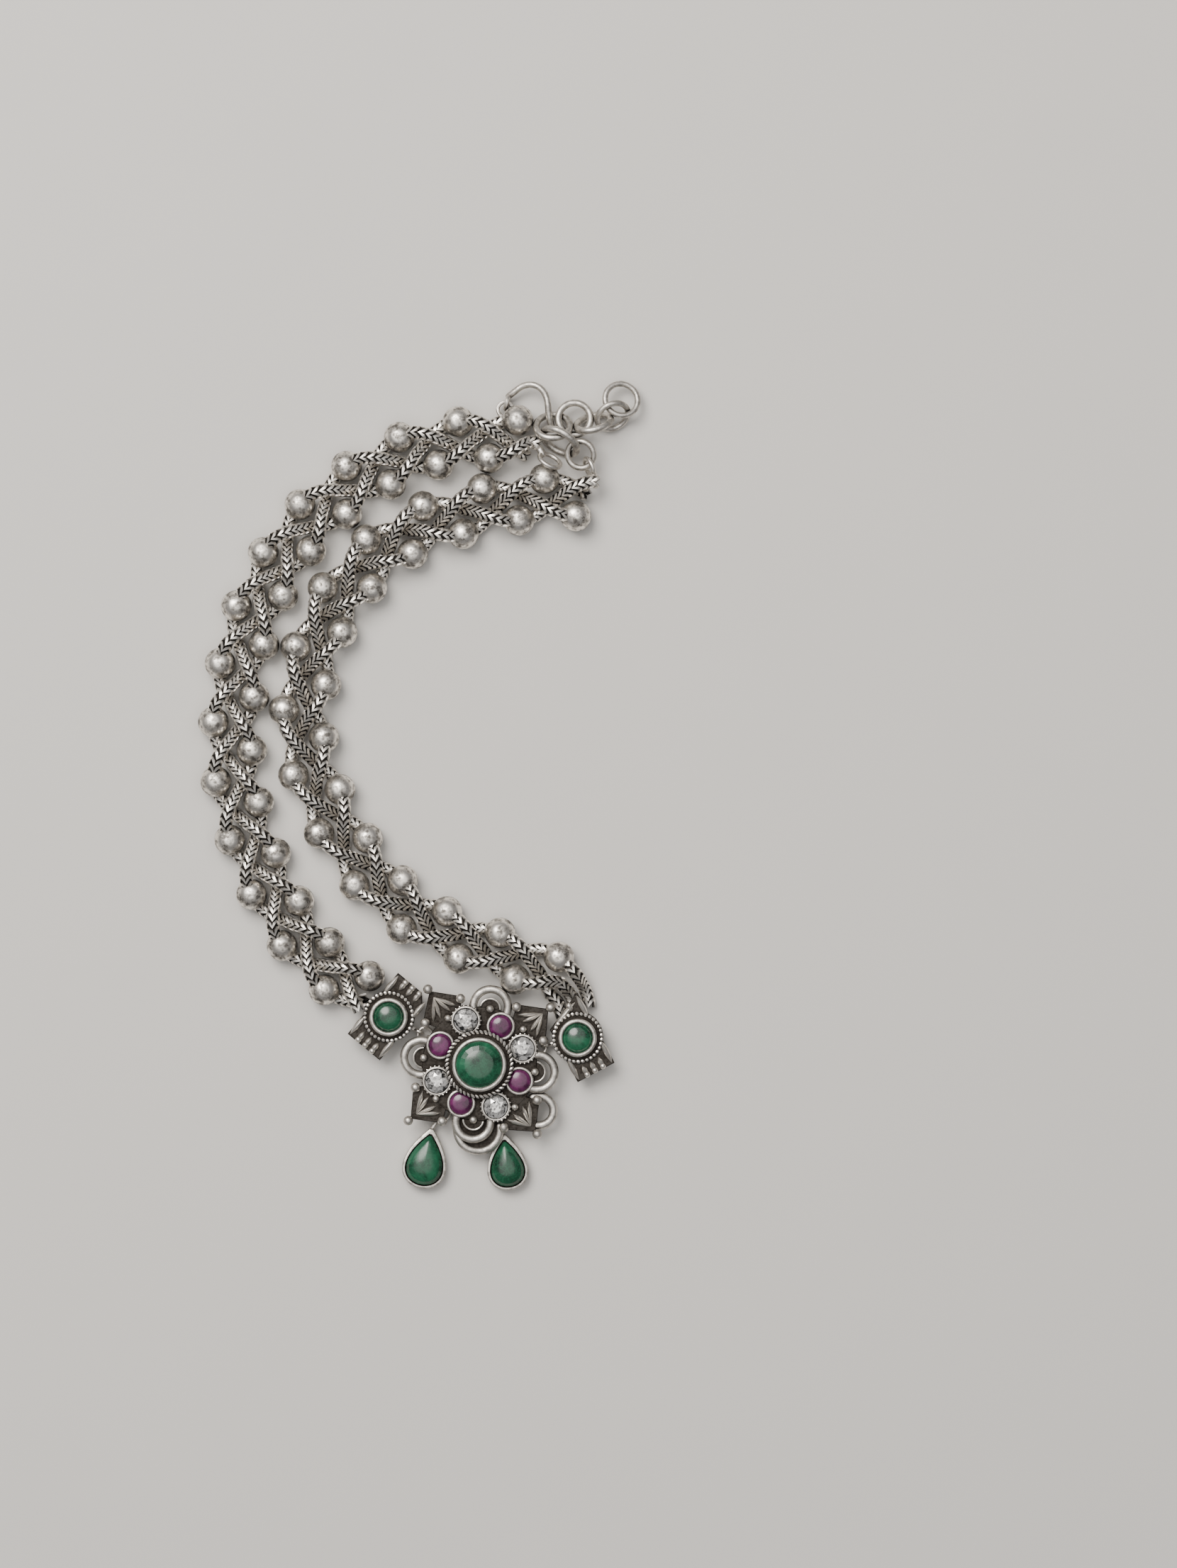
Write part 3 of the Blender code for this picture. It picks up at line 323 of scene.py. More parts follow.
# Stops of the black that ambient occlusion paints into corners: blackened oxide and painted shade where shade
# falls
CORNER_OXIDE_AND_SHADE_STOPS = ((0.32, 0.0), (0.82, 1.0))
CORNER_SAMPLES = 8
BLACK_ROUGHNESS = 0.62
RELIEF_STRENGTH = 0.6

# Coloured stones. dark and light are the shares of the middle tone in the depths and in the clouds
CLOUDY_STONES = {
    "green_stone_cloudy": {"dark": 0.3, "light": 1.45, "scale": 330.0, "roughness": 0.2, "vein": 0.25},
    "purple_stone_cloudy": {"dark": 0.4, "light": 1.6, "scale": 700.0, "roughness": 0.16, "vein": 0.15},
}
VEIN_LIGHT, VEIN_LIFT = 1.7, 0.02
CLOUD_ROUGHNESS = 1.8
STONE_IOR = 1.57

# Camera and light
VIEW_CENTRE = (14.1 * MM, 36.2 * MM)
VIEW_HEIGHT = 202.9 * MM
VIEW_PLANE_Z = 2.5 * MM
CAMERA_DISTANCE = 0.62
SENSOR = 36.0
FLOOR_HALF = 0.8
SKY_COLOUR, SKY_STRENGTH = (0.95, 0.96, 1.0), 0.2
LIGHTS = {
    "key": {"place": (-0.22, 0.33, 0.55), "size": 0.42, "power": 5.2, "colour": (1.0, 0.96, 0.91)},
    "overhead": {"place": (-0.06, 0.14, 0.85), "size": 1.5, "power": 7.5, "colour": (1.0, 0.98, 0.95)},
}


class AnkletSizes(bpy.types.PropertyGroup):
    """Sizes of the fine work."""

    link_pitch: FloatProperty(
        name="Link pitch", description="Space from one chain link to the next", default=0.8 * MM, unit="LENGTH"
    )
    link_wire: FloatProperty(
        name="Link wire", description="Thickness of the chain's wire", default=0.47 * MM, unit="LENGTH"
    )
    link_sweep: FloatProperty(
        name="Link sweep", description="How far a link's shoulders lie behind its middle", default=0.85 * MM,
        unit="LENGTH",
    )
    granules: IntProperty(name="Rope turns", description="Turns of the rope round the main stone", default=46)
    box_granules: IntProperty(name="Box granules", description="Granules round each box stone", default=34)
    milling: IntProperty(name="Milled beads", description="Beads round each white stone", default=22)


class AnkletColours(bpy.types.PropertyGroup):
    """Colours of the metal, the stones and the floor."""

    silver: FloatVectorProperty(
        name="Silver", description="Worn silver", subtype="COLOR", size=3, default=(0.86, 0.815, 0.75)
    )
    # The dark end of every silver: real blackened oxide, and the painted shade of recesses and crowns
    patina_and_shade: FloatVectorProperty(
        name="Patina", description="Blackened silver in the recesses", subtype="COLOR", size=3,
        default=(0.022, 0.018, 0.015),
    )
    green: FloatVectorProperty(
        name="Green stone", description="Middle tone of the green stones", subtype="COLOR", size=3,
        default=(0.003, 0.066, 0.029),
    )
    purple: FloatVectorProperty(
        name="Purple stone", description="Middle tone of the purple stones", subtype="COLOR", size=3,
        default=(0.072, 0.006, 0.05),
    )
    white: FloatVectorProperty(
        name="White stone", description="Clear foil-backed stones", subtype="COLOR", size=3,
        default=(0.95, 0.93, 0.90),
    )
    floor: FloatVectorProperty(
        name="Floor", description="Pale floor", subtype="COLOR", size=3, default=(0.62, 0.60, 0.57)
    )


def sizes():
    return bpy.context.scene.anklet_sizes


def colours():
    return bpy.context.scene.anklet_colours


# Points, frames and meshes


def polar(radius, degrees, height=0.0):
    turn = math.radians(degrees)
    return Vector((radius * math.cos(turn), radius * math.sin(turn), height))


def frame_at(place, degrees=0.0):
    """A matrix that turns about Z and then moves."""
    return Matrix.Translation(place) @ Matrix.Rotation(math.radians(degrees), 4, "Z")


def facing(place, normal):
    """A matrix that carries +Z to this direction and the origin to this place."""
    turn = Vector(normal).normalized().to_track_quat("Z", "Y").to_matrix().to_4x4()
    return Matrix.Translation(place) @ turn


def ring_matrix(ring):
    axis = polar(math.sin(math.radians(ring["tilt"])), ring["azimuth"], math.cos(math.radians(ring["tilt"])))
    return facing(Vector(ring["at"]) * MM, axis)


def along(points, count):
    """A smooth open curve through the points, with this many steps between neighbours."""
    curve = []
    for k in range(len(points) - 1):
        before = points[max(k - 1, 0)]
        start, end = points[k], points[k + 1]
        after = points[min(k + 2, len(points) - 1)]
        handles = start + (end - before) / 6, end - (after - start) / 6
        curve += interpolate_bezier(start, *handles, end, count)[:-1]
    return [*curve, points[-1]]


def arc(matrix, radius, half_angle, steps):
    """Points on an arc about the matrix's +X, without the last one where it is a whole ring."""
    whole = half_angle >= 180
    turns = [-half_angle + 2 * half_angle * k / steps for k in range(steps if whole else steps + 1)]
    return [matrix @ polar(radius, turn) for turn in turns]


def skin(bm, rings, closed=False, caps=True):
    """Faces between rings of points that have the same count. Returns the faces of each band."""
    loops = [[bm.verts.new(point) for point in ring] for ring in rings]
    pairs = list(zip(loops, loops[1:] + loops[:1])) if closed else list(zip(loops, loops[1:]))
    bands = []
    for low, high in pairs:
        count = len(low)
        corners = ((low[k], low[(k + 1) % count], high[(k + 1) % count], high[k]) for k in range(count))
        bands.append([bm.faces.new(four) for four in corners])
    if not closed and caps:
        bm.faces.new(reversed(loops[0]))
        bm.faces.new(loops[-1])
    return bands


def sweep(bm, centres, radius, sides=WIRE_SIDES, closed=False):
    """A round wire along the points. Open ends are rounded."""
    points = list(centres)
    radii = [radius] * len(points)
    if not closed:
        first, last = (points[0] - points[1]).normalized(), (points[-1] - points[-2]).normalized()
        for out, size in WIRE_END:
            points.insert(0, centres[0] + first * radius * out)
            radii.insert(0, radius * size)
            points.append(centres[-1] + last * radius * out)
            radii.append(radius * size)
    count = len(points)
    ways = []
    for k in range(count):
        ahead = points[(k + 1) % count] if closed else points[min(k + 1, count - 1)]
        behind = points[k - 1] if closed or k else points[0]
        ways.append((ahead - behind).normalized())
    side = ways[0].orthogonal().normalized()
    rings = []
    for point, way, size in zip(points, ways, radii):
        side = (side - way * side.dot(way)).normalized()
        up = way.cross(side)
        turns = [2 * math.pi * k / sides for k in range(sides)]
        rings.append([point + (side * math.cos(turn) + up * math.sin(turn)) * size for turn in turns])
    skin(bm, rings, closed)


def hoop(bm, matrix, radius, wire, steps=RING_STEPS, sides=WIRE_SIDES):
    """A whole ring of round wire about the matrix's Z."""
    sweep(bm, arc(matrix, radius, 180, steps), wire / 2, sides, closed=True)


def circles(profile, steps, matrix):
    """One circle of points about Z for each (radius, height) pair."""
    return [
        [matrix @ polar(radius, 360 * k / steps, height) for k in range(steps)]
        for radius, height in profile
    ]


def turned(bm, profile, steps=TURN_STEPS, matrix=Matrix()):
    """A solid turned about Z from (radius, height) pairs that run upwards."""
    skin(bm, circles(profile, steps, matrix))


def lip(bm, inner, outer, bottom, top, matrix=Matrix(), steps=TURN_STEPS, over=0.0):
    """A bezel: an upright ring wall with a rounded top that leans over the stone."""
    wall = (outer - inner) / 2
    middle = (outer + inner) / 2
    crest = top - wall * LIP_ROUND
    profile = [(outer, bottom), (outer, crest)]
    for turn in (30, 60, 90, 120, 150):
        lean = over * (90 - abs(90 - turn)) / 90
        out, up = math.cos(math.radians(turn)), math.sin(math.radians(turn))
        profile.append((middle - lean + wall * out, crest + wall * LIP_ROUND * up))
    profile += [(inner - over, crest), (inner, bottom)]
    skin(bm, circles(profile, steps, matrix), closed=True)


def plate(bm, outline, bottom, top, edge=PLATE_EDGE):
    """A flat plate with this outline of points, whose top edge is eased."""
    centre = sum(outline, Vector()) / len(outline)

    def level(height, inset):
        return [
            Vector((point.x, point.y, height)) + (centre - point).normalized() * inset for point in outline
        ]

    skin(bm, [level(bottom, 0), level(top - edge, 0), level(top, edge)])


def bead(bm, centre, diameter, segments=18, rings=10):
    bmesh.ops.create_uvsphere(
        bm, u_segments=segments, v_segments=rings, radius=diameter / 2, matrix=Matrix.Translation(centre)
    )


def petal(bm, start, end, width, height, fullest, sides=10, steps=10):
    """A slim leaf between two points, raised along the middle and widest at this share of its length."""
    way = end - start
    across = Vector((-way.y, way.x, 0)).normalized()
    rings = []
    for k in range(steps + 1):
        share = PETAL_END + (1 - 2 * PETAL_END) * k / steps
        bend = share / fullest / 2 if share < fullest else 0.5 + (share - fullest) / (1 - fullest) / 2
        swell = math.sin(math.pi * bend) ** PETAL_SWELL
        ring = []
        for turn in (2 * math.pi * side / sides for side in range(sides)):
            rise = math.copysign(abs(math.cos(turn)) ** PETAL_ROUND, math.cos(turn)) * swell * height / 2
            point = start + way * share + across * math.sin(turn) * swell * width / 2
            ring.append(point + Vector((0, 0, rise)))
        rings.append(ring)
    skin(bm, rings)


def drawn(name, draw, *args, **options):
    """A mesh drawn by draw(bmesh, ...), with its faces turned outwards."""
    bm = bmesh.new()
    draw(bm, *args, **options)
    bmesh.ops.recalc_face_normals(bm, faces=bm.faces)
    mesh = bpy.data.meshes.new(name)
    bm.to_mesh(mesh)
    bm.free()
    return mesh


def piece(name, mesh, material, nodes=(), sharp=35):
    """Makes a mesh a piece of the anklet, in place of these solids."""
    obj = bpy.data.objects.new(name, mesh)
    bpy.context.scene.collection.objects.link(obj)
    mesh.materials.clear()
    mesh.materials.append(material)
    if sharp:
        mesh.shade_smooth()
        mesh.set_sharp_from_angle(angle=math.radians(sharp))
    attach(obj, "root")
    if nodes:
        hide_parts(*nodes)
    return obj


# The plait


def eased(share):
    """0 to 1 with a soft start and end."""
    return share * share * (3 - 2 * share)


class Route:
    """A flat smooth curve that is read by its length."""

    def __init__(self, points_mm):
        self.points = along([Vector((x, y, 0)) * MM for x, y in points_mm], ROUTE_STEPS)
        self.lengths = [0.0]
        for a, b in zip(self.points, self.points[1:]):
            self.lengths.append(self.lengths[-1] + (b - a).length)
        self.length = self.lengths[-1]

    def place(self, at):
        """The point at this length, and the unit direction to its left."""
        at = min(max(at, 0.0), self.length)
        k = next(i for i in range(1, len(self.lengths)) if self.lengths[i] >= at)
        a, b = self.points[k - 1], self.points[k]
        share = (at - self.lengths[k - 1]) / (self.lengths[k] - self.lengths[k - 1])
        way = (b - a).normalized()
        return a.lerp(b, share), Vector((-way.y, way.x, 0))


class Plait:
    """Three strands plaited along a route, with a ball threaded on every outer bend."""

    def __init__(self, name):
        arm = ARMS[name]
        self.route = Route(ROUTES_MM[name])
        self.hand = arm["hand"]
        self.first = arm["first"]
        plaited = self.route.length - arm["first"] - arm["last"]
        self.balls = max(round(plaited / arm["step"]), 1) + 1
        self.step = plaited / (self.balls - 1)
        self.start = self.first - self.step / 2
        self.tail = min(self.first + (self.balls - 0.5) * self.step, self.route.length)
        self.first_phase = math.radians(90 * arm["side"])
        self.rise = (STRAND_D + STRAND_GAP) / (2 * math.sin(math.radians(60)))
        self.middle = STRAND_D / 2 + self.rise + FLOOR_GAP

    def phase(self, at, strand):
        plaited = min(max(at, self.start), self.tail) - self.first
        return self.first_phase + math.radians(60) * plaited / self.step - math.radians(120) * (strand - 1)

    def point(self, at, strand):
        """The middle of the strand at this length of the route."""
        phase = self.phase(at, strand)
        across = STRAND_REACH * math.sin(phase)
        height = self.middle + self.hand * self.rise * math.sin(2 * phase)
        if self.route.length > self.tail and at > self.tail:
            flat = eased(min(TAIL_EASE * (at - self.tail) / (self.route.length - self.tail), 1))
            across += flat * (round(math.sin(phase)) * TAIL_SPACING - across)
            height += flat * (STRAND_D / 2 + FLOOR_GAP - height)
        middle, left = self.route.place(at)
        return middle + left * across + Vector((0, 0, height))

    def ball_places(self, strand):
        """(length, centre, way) of each ball on this strand."""
        for k in range(self.balls):
            at = self.first + k * self.step
            side = math.sin(self.phase(at, strand))
            if abs(side) > OUTER_BEND:
                middle, left = self.route.place(at)
                out = left * BALL_REACH * math.copysign(1, side)
                centre = middle + out + Vector((0, 0, BALL_D / 2 + FLOOR_GAP))
                reach = min(self.step / 2, self.route.length - at)
                way = self.point(at + reach, strand) - self.point(at - reach, strand)
                yield at, centre, way.normalized()

    def strand_path(self, strand, begin):
        """Points along the middle of the strand, drawn into the balls' middles where it passes them."""
        count = round((self.route.length - begin) / PATH_STEP)
        balls = list(self.ball_places(strand))
        path = []
        for k in range(count + 1):
            at = begin + (self.route.length - begin) * k / count
            point = self.point(at, strand)
            for place, centre, way in balls:
                near = max(1 - abs(at - place) / (THREADED * BALL_D), 0.0)
                point = point.lerp(centre + way * (at - place), eased(near))
            point.z = max(point.z, STRAND_D / 2 + FLOOR_GAP)
            path.append(point)
        return path


# Nodes


def fill(node, **values):
    """Puts these values into the node's inputs. An input's name is written small, with _ for a space."""
    for label, value in values.items():
        node.inputs[label.replace("_", " ").title()].default_value = value
    return node


def connect(tree, *pairs):
    for source, target in pairs:
        tree.links.new(source, target)


def multiplied(tree, first, second):
    """The product of a socket with a socket or a number."""
    made = tree.nodes.new("ShaderNodeMath")
    made.operation = "MULTIPLY"
    tree.links.new(first, made.inputs[0])
    if isinstance(second, float):
        made.inputs[1].default_value = second
    else:
        tree.links.new(second, made.inputs[1])
    return made.outputs[0]


def new_tree(name, inputs):
    """A Geometry Nodes tree with these (name, socket type, default) inputs after its geometry."""
    tree = bpy.data.node_groups.new(name, "GeometryNodeTree")
    tree.interface.new_socket("Geometry", in_out="INPUT", socket_type="NodeSocketGeometry")
    for label, kind, default in inputs:
        socket = tree.interface.new_socket(label, in_out="INPUT", socket_type=kind)
        if default is not None:
            socket.default_value = default
    tree.interface.new_socket("Geometry", in_out="OUTPUT", socket_type="NodeSocketGeometry")
    return tree, tree.nodes.new("NodeGroupInput"), tree.nodes.new("NodeGroupOutput")


def lay_units_tree():
    """Lays a unit at even steps along a curve over a core wire, with its Z along the curve and Y up."""
    tree, given, result = new_tree("lay_units", [
        ("Unit", "NodeSocketObject", None),
        ("Count", "NodeSocketInt", 10),
        ("Size Spread", "NodeSocketFloat", 0.04),
        ("Turn Spread", "NodeSocketFloat", 0.03),
        ("Core Radius", "NodeSocketFloat", 0.1 * MM),
        ("Seed", "NodeSocketInt", 1),
        ("Finish", "NodeSocketMaterial", None),
    ])
    nodes = tree.nodes
    upright = nodes.new("GeometryNodeSetCurveNormal")
    upright.mode = "Z_UP"
    spots = nodes.new("GeometryNodeCurveToPoints")
    spots.mode = "COUNT"
    unit = fill(nodes.new("GeometryNodeObjectInfo"), as_instance=True)
    lay = nodes.new("GeometryNodeInstanceOnPoints")
    size = nodes.new("FunctionNodeRandomValue")
    smallest = nodes.new("ShaderNodeMath")
    smallest.operation = "SUBTRACT"
    largest = nodes.new("ShaderNodeMath")
    for end in (smallest, largest):
        end.inputs[0].default_value = 1.0
    turn = nodes.new("FunctionNodeRandomValue")
    turn.data_type = "FLOAT_VECTOR"
    rotate = nodes.new("GeometryNodeRotateInstances")
    core = fill(nodes.new("GeometryNodeCurveToMesh"), fill_caps=True)
    circle = fill(nodes.new("GeometryNodeCurvePrimitiveCircle"), resolution=8)
    both = nodes.new("GeometryNodeJoinGeometry")
    real = nodes.new("GeometryNodeRealizeInstances")
    finish = nodes.new("GeometryNodeSetMaterial")
    connect(
        tree,
        (given.outputs["Geometry"], upright.inputs["Curve"]),
        (upright.outputs["Curve"], spots.inputs["Curve"]),
        (given.outputs["Count"], spots.inputs["Count"]),
        (given.outputs["Unit"], unit.inputs["Object"]),
        (spots.outputs["Points"], lay.inputs["Points"]),
        (spots.outputs["Rotation"], lay.inputs["Rotation"]),
        (unit.outputs["Geometry"], lay.inputs["Instance"]),
        (given.outputs["Size Spread"], smallest.inputs[1]),
        (given.outputs["Size Spread"], largest.inputs[1]),
        (smallest.outputs[0], size.inputs[2]),
        (largest.outputs[0], size.inputs[3]),
        (given.outputs["Seed"], size.inputs["Seed"]),
        (size.outputs[1], lay.inputs["Scale"]),
        (multiplied(tree, given.outputs["Turn Spread"], -1.0), turn.inputs[0]),
        (given.outputs["Turn Spread"], turn.inputs[1]),
        (given.outputs["Seed"], turn.inputs["Seed"]),
        (lay.outputs["Instances"], rotate.inputs["Instances"]),
        (turn.outputs[0], rotate.inputs["Rotation"]),
        (upright.outputs["Curve"], core.inputs["Curve"]),
        (circle.outputs["Curve"], core.inputs["Profile Curve"]),
        (given.outputs["Core Radius"], circle.inputs["Radius"]),
        (core.outputs["Mesh"], both.inputs["Geometry"]),
        (rotate.outputs["Instances"], both.inputs["Geometry"]),
        (both.outputs["Geometry"], real.inputs["Geometry"]),
        (real.outputs["Geometry"], finish.inputs["Geometry"]),
        (given.outputs["Finish"], finish.inputs["Material"]),
        (finish.outputs["Geometry"], result.inputs["Geometry"]),
    )
    return tree


def kept_tree(name, make):
    return bpy.data.node_groups.get(name) or make()


def laid(name, path, closed, **values):
    """A mesh of units laid along this path by the tree, with the tree's inputs given by name."""
    tree = kept_tree("lay_units", lay_units_tree)
    curve = bpy.data.curves.new(name, "CURVE")
    curve.dimensions = "3D"
    spline = curve.splines.new("POLY")
    spline.points.add(len(path) - 1)
    for spot, point in zip(spline.points, path):
        spot.co = (*point, 1.0)
    spline.use_cyclic_u = closed
    guide = bpy.data.objects.new(name, curve)
    bpy.context.scene.collection.objects.link(guide)
    modifier = guide.modifiers.new("Lay", "NODES")
    modifier.node_group = tree
    for item in tree.interface.items_tree:
        label = item.name.lower().replace(" ", "_")
        if item.in_out == "INPUT" and label in values:
            modifier[item.identifier] = values[label]
    graph = bpy.context.evaluated_depsgraph_get()
    laid_out = guide.evaluated_get(graph)
    mesh = bpy.data.meshes.new_from_object(laid_out, preserve_all_data_layers=True, depsgraph=graph)
    bpy.data.objects.remove(guide, do_unlink=True)
    bpy.data.curves.remove(curve)
    mesh.name = name
    if not mesh.polygons:
        raise RuntimeError(f"{name}: nothing was laid along the path")
    return mesh


def unit_object(name, mesh):
    """A hidden helper that the tree lays."""
    unit = bpy.data.objects.new(name, mesh)
    bpy.context.scene.collection.objects.link(unit)
    unit.hide_render = True
    return unit


def drop_unit(unit):
    mesh = unit.data
    bpy.data.objects.remove(unit, do_unlink=True)
    bpy.data.meshes.remove(mesh)


def add_crown(mesh, heights):
    """An attribute that runs from 0 at the lowest of these heights to 1 at the highest."""
    crown = mesh.attributes.new("crown", "FLOAT", "POINT")
    low, high = min(heights), max(heights)
    crown.data.foreach_set("value", [(height - low) / (high - low) for height in heights])


def foxtail_link():
    """One link: a wavy loop whose four grooves lead and whose four shoulders lie behind, so rows of them show
    as herringbone from every side."""
    wire, sweep_back = sizes().link_wire, sizes().link_sweep
    reach = STRAND_D / 2 - wire / 2
    count, sides = LINK["points"], LINK["sides"]
    rings = []
    for k in range(count):
        turn, ahead, behind = (2 * math.pi * (k + step) / count for step in (0, 0.5, -0.5))
        shoulder = abs(math.sin(2 * turn))
        radius = reach * (LINK["groove"] + LINK["shoulder"] * shoulder)
        point = Vector((radius * math.cos(turn), radius * math.sin(turn), -sweep_back * (shoulder - 0.5)))
        rise = abs(math.sin(2 * ahead)) - abs(math.sin(2 * behind))
        way = Vector((
            reach * (math.cos(ahead) - math.cos(behind)), reach * (math.sin(ahead) - math.sin(behind)),
            -sweep_back * rise,
        )).normalized()
        out = Vector((math.cos(turn), math.sin(turn), 0))
        out = (out - way * out.dot(way)).normalized()
        up = way.cross(out)
        thick = wire / 2 * LINK["wire_swell"]
        turns = [2 * math.pi * (j + 0.5) / sides for j in range(sides)]
        rings.append([point + (out * math.cos(t) + up * math.sin(t)) * thick for t in turns])
    mesh = drawn("foxtail_link", skin, rings, closed=True)
    mesh.shade_smooth()
    # The crown grows from the link's axis outwards; chain_silver paints the inner side dark, oxide and painted
    # shade
    add_crown(mesh, [math.hypot(vertex.co.x, vertex.co.y) for vertex in mesh.vertices])
    return unit_object("foxtail_link", mesh)


def granule_unit(name, length, width, height, slant):
    """A small oval granule, slanted across the ring that it lies on."""
    turn = Matrix.Rotation(math.radians(slant), 4, "Y")
    scale = Matrix.Diagonal((width / 2, height / 2, length / 2, 1))
    bm = bmesh.new()
    bmesh.ops.create_uvsphere(bm, u_segments=8, v_segments=5, radius=1, matrix=turn @ scale)
    mesh = bpy.data.meshes.new(name)
    bm.to_mesh(mesh)
    bm.free()
    mesh.shade_smooth()
    # The crown grows from the granule's middle height to its top and bottom; granule_silver paints the flanks
    # dark, oxide and painted shade
    add_crown(mesh, [abs(vertex.co.y) for vertex in mesh.vertices])
    return unit_object(name, mesh)


# Materials


def new_group(name, inputs, outputs):
    tree = bpy.data.node_groups.new(name, "ShaderNodeTree")
    for label, kind, default in inputs:
        socket = tree.interface.new_socket(label, in_out="INPUT", socket_type=kind)
        if default is not None:
            socket.default_value = default
    for label, kind in outputs:
        tree.interface.new_socket(label, in_out="OUTPUT", socket_type=kind)
    return tree, tree.nodes.new("NodeGroupInput"), tree.nodes.new("NodeGroupOutput")


def ramp(nodes, *stops):
    """A colour ramp with (position, grey level) stops."""
    made = nodes.new("ShaderNodeValToRGB")
    elements = made.color_ramp.elements
    while len(elements) < len(stops):
        elements.new(0.5)
    for element, (position, level) in zip(elements, stops):
        element.position = position
        element.color = (level, level, level, 1)
    return made


def mixed(nodes, first, second, blend="MIX"):
    """A mix of two colours, of which a linked one takes the place of None."""
    made = nodes.new("ShaderNodeMix")
    made.data_type = "RGBA"
    made.blend_type = blend
    made.inputs["Factor"].default_value = 1.0
    for label, colour in (("A", first), ("B", second)):
        if colour is not None:
            made.inputs[label].default_value = (*colour, 1)
    return made


def attribute(nodes, name):
    made = nodes.new("ShaderNodeAttribute")
    made.attribute_name = name
    return made


def placed_group(nodes, name, make):
    made = nodes.new("ShaderNodeGroup")
    made.node_tree = kept_tree(name, make)
    return made


def new_material(name):
    """A material with its tree, its shader and the socket of its Object coordinates."""
    made = bpy.data.materials.new(name)
    made.use_nodes = True
    nodes = made.node_tree.nodes
    return made, made.node_tree, nodes["Principled BSDF"], nodes.new("ShaderNodeTexCoord").outputs["Object"]


def silver_wear_group():
    """Mottling and small pits of old silver."""
    tree, given, result = new_group(
        "silver_wear",
        [
            ("Vector", "NodeSocketVector", None), ("Mottle Scale", "NodeSocketFloat", 900.0),
            ("Pit Scale", "NodeSocketFloat", 2500.0), ("Pit Size", "NodeSocketFloat", 0.2),
        ],
        [("Shade", "NodeSocketFloat"), ("Height", "NodeSocketFloat")],
    )
    nodes = tree.nodes
    mottle = fill(nodes.new("ShaderNodeTexNoise"), detail=6.0, roughness=0.65)
    pits = nodes.new("ShaderNodeTexVoronoi")
    mottle_ramp = ramp(nodes, (0.38, 0.0), (0.56, 1.0))
    pit_edge = nodes.new("ShaderNodeMapRange")
    height = nodes.new("ShaderNodeMath")
    height.operation = "MULTIPLY_ADD"
    height.inputs[1].default_value = 0.5
    connect(
        tree,
        (given.outputs["Vector"], mottle.inputs["Vector"]),
        (given.outputs["Mottle Scale"], mottle.inputs["Scale"]),
        (given.outputs["Vector"], pits.inputs["Vector"]),
        (given.outputs["Pit Scale"], pits.inputs["Scale"]),
        (mottle.outputs["Fac"], mottle_ramp.inputs["Fac"]),
        (pits.outputs["Distance"], pit_edge.inputs["Value"]),
        (given.outputs["Pit Size"], pit_edge.inputs["From Max"]),
        (multiplied(tree, mottle_ramp.outputs["Color"], pit_edge.outputs["Result"]), result.inputs["Shade"]),
        (mottle.outputs["Fac"], height.inputs[0]),
        (pit_edge.outputs["Result"], height.inputs[2]),
        (height.outputs[0], result.inputs["Height"]),
    )
    return tree


def silver(name):
    """Antique silver in one of the finishes of SILVERS: bright where rubbed, black in its recesses from oxide
    and painted shade, and darkened below a crown with painted shade.
    """
    found = bpy.data.materials.get(name)
    if found:
        return found
    finish = {"pit_size": 0.2, "relief": 0.02, "rubbed": 1.0, "crown": None, **SILVERS[name]}
    made, tree, shader, place = new_material(name)
    nodes = tree.nodes
    group = fill(
        placed_group(nodes, "silver_wear", silver_wear_group),
        mottle_scale=finish["mottle"], pit_scale=finish["pits"], pit_size=finish["pit_size"],
    )
    rubbed = finish["rubbed"]
    worn = fill(nodes.new("ShaderNodeMapRange"), to_min=rubbed * (1.0 - finish["wear"]), to_max=rubbed)
    # Painted shade: ambient occlusion blackens recesses and corners, standing for blackened oxide and for the
    # shade that falls there
    recess_oxide_and_shade = fill(nodes.new("ShaderNodeAmbientOcclusion"), distance=finish["recess"] * MM)
    recess_oxide_and_shade.samples = CORNER_SAMPLES
    recess_oxide_and_shade_ramp = ramp(nodes, *CORNER_OXIDE_AND_SHADE_STOPS)
    level = multiplied(tree, worn.outputs["Result"], recess_oxide_and_shade_ramp.outputs["Color"])
    # Painted shade: the crown attribute darkens the lower sides of balls and the inner sides of links and
    # granules
    if finish["crown"]:
        crown_shade_ramp = ramp(nodes, *finish["crown"])
        connect(tree, (attribute(nodes, "crown").outputs["Fac"], crown_shade_ramp.inputs["Fac"]))
        level = multiplied(tree, level, crown_shade_ramp.outputs["Color"])
    colour = mixed(nodes, colours().patina_and_shade, colours().silver)
    dull = fill(nodes.new("ShaderNodeMapRange"), to_min=BLACK_ROUGHNESS, to_max=finish["roughness"])
    bump = fill(nodes.new("ShaderNodeBump"), strength=RELIEF_STRENGTH, distance=finish["relief"] * MM)
    connect(
        tree,
        (place, group.inputs["Vector"]),
        (group.outputs["Shade"], worn.inputs["Value"]),
        (recess_oxide_and_shade.outputs["AO"], recess_oxide_and_shade_ramp.inputs["Fac"]),
        (level, colour.inputs["Factor"]),
        (colour.outputs["Result"], shader.inputs["Base Color"]),
        (level, dull.inputs["Value"]),
        (dull.outputs["Result"], shader.inputs["Roughness"]),
        (group.outputs["Height"], bump.inputs["Height"]),
        (bump.outputs["Normal"], shader.inputs["Normal"]),
    )
    fill(shader, metallic=1.0)
    return made


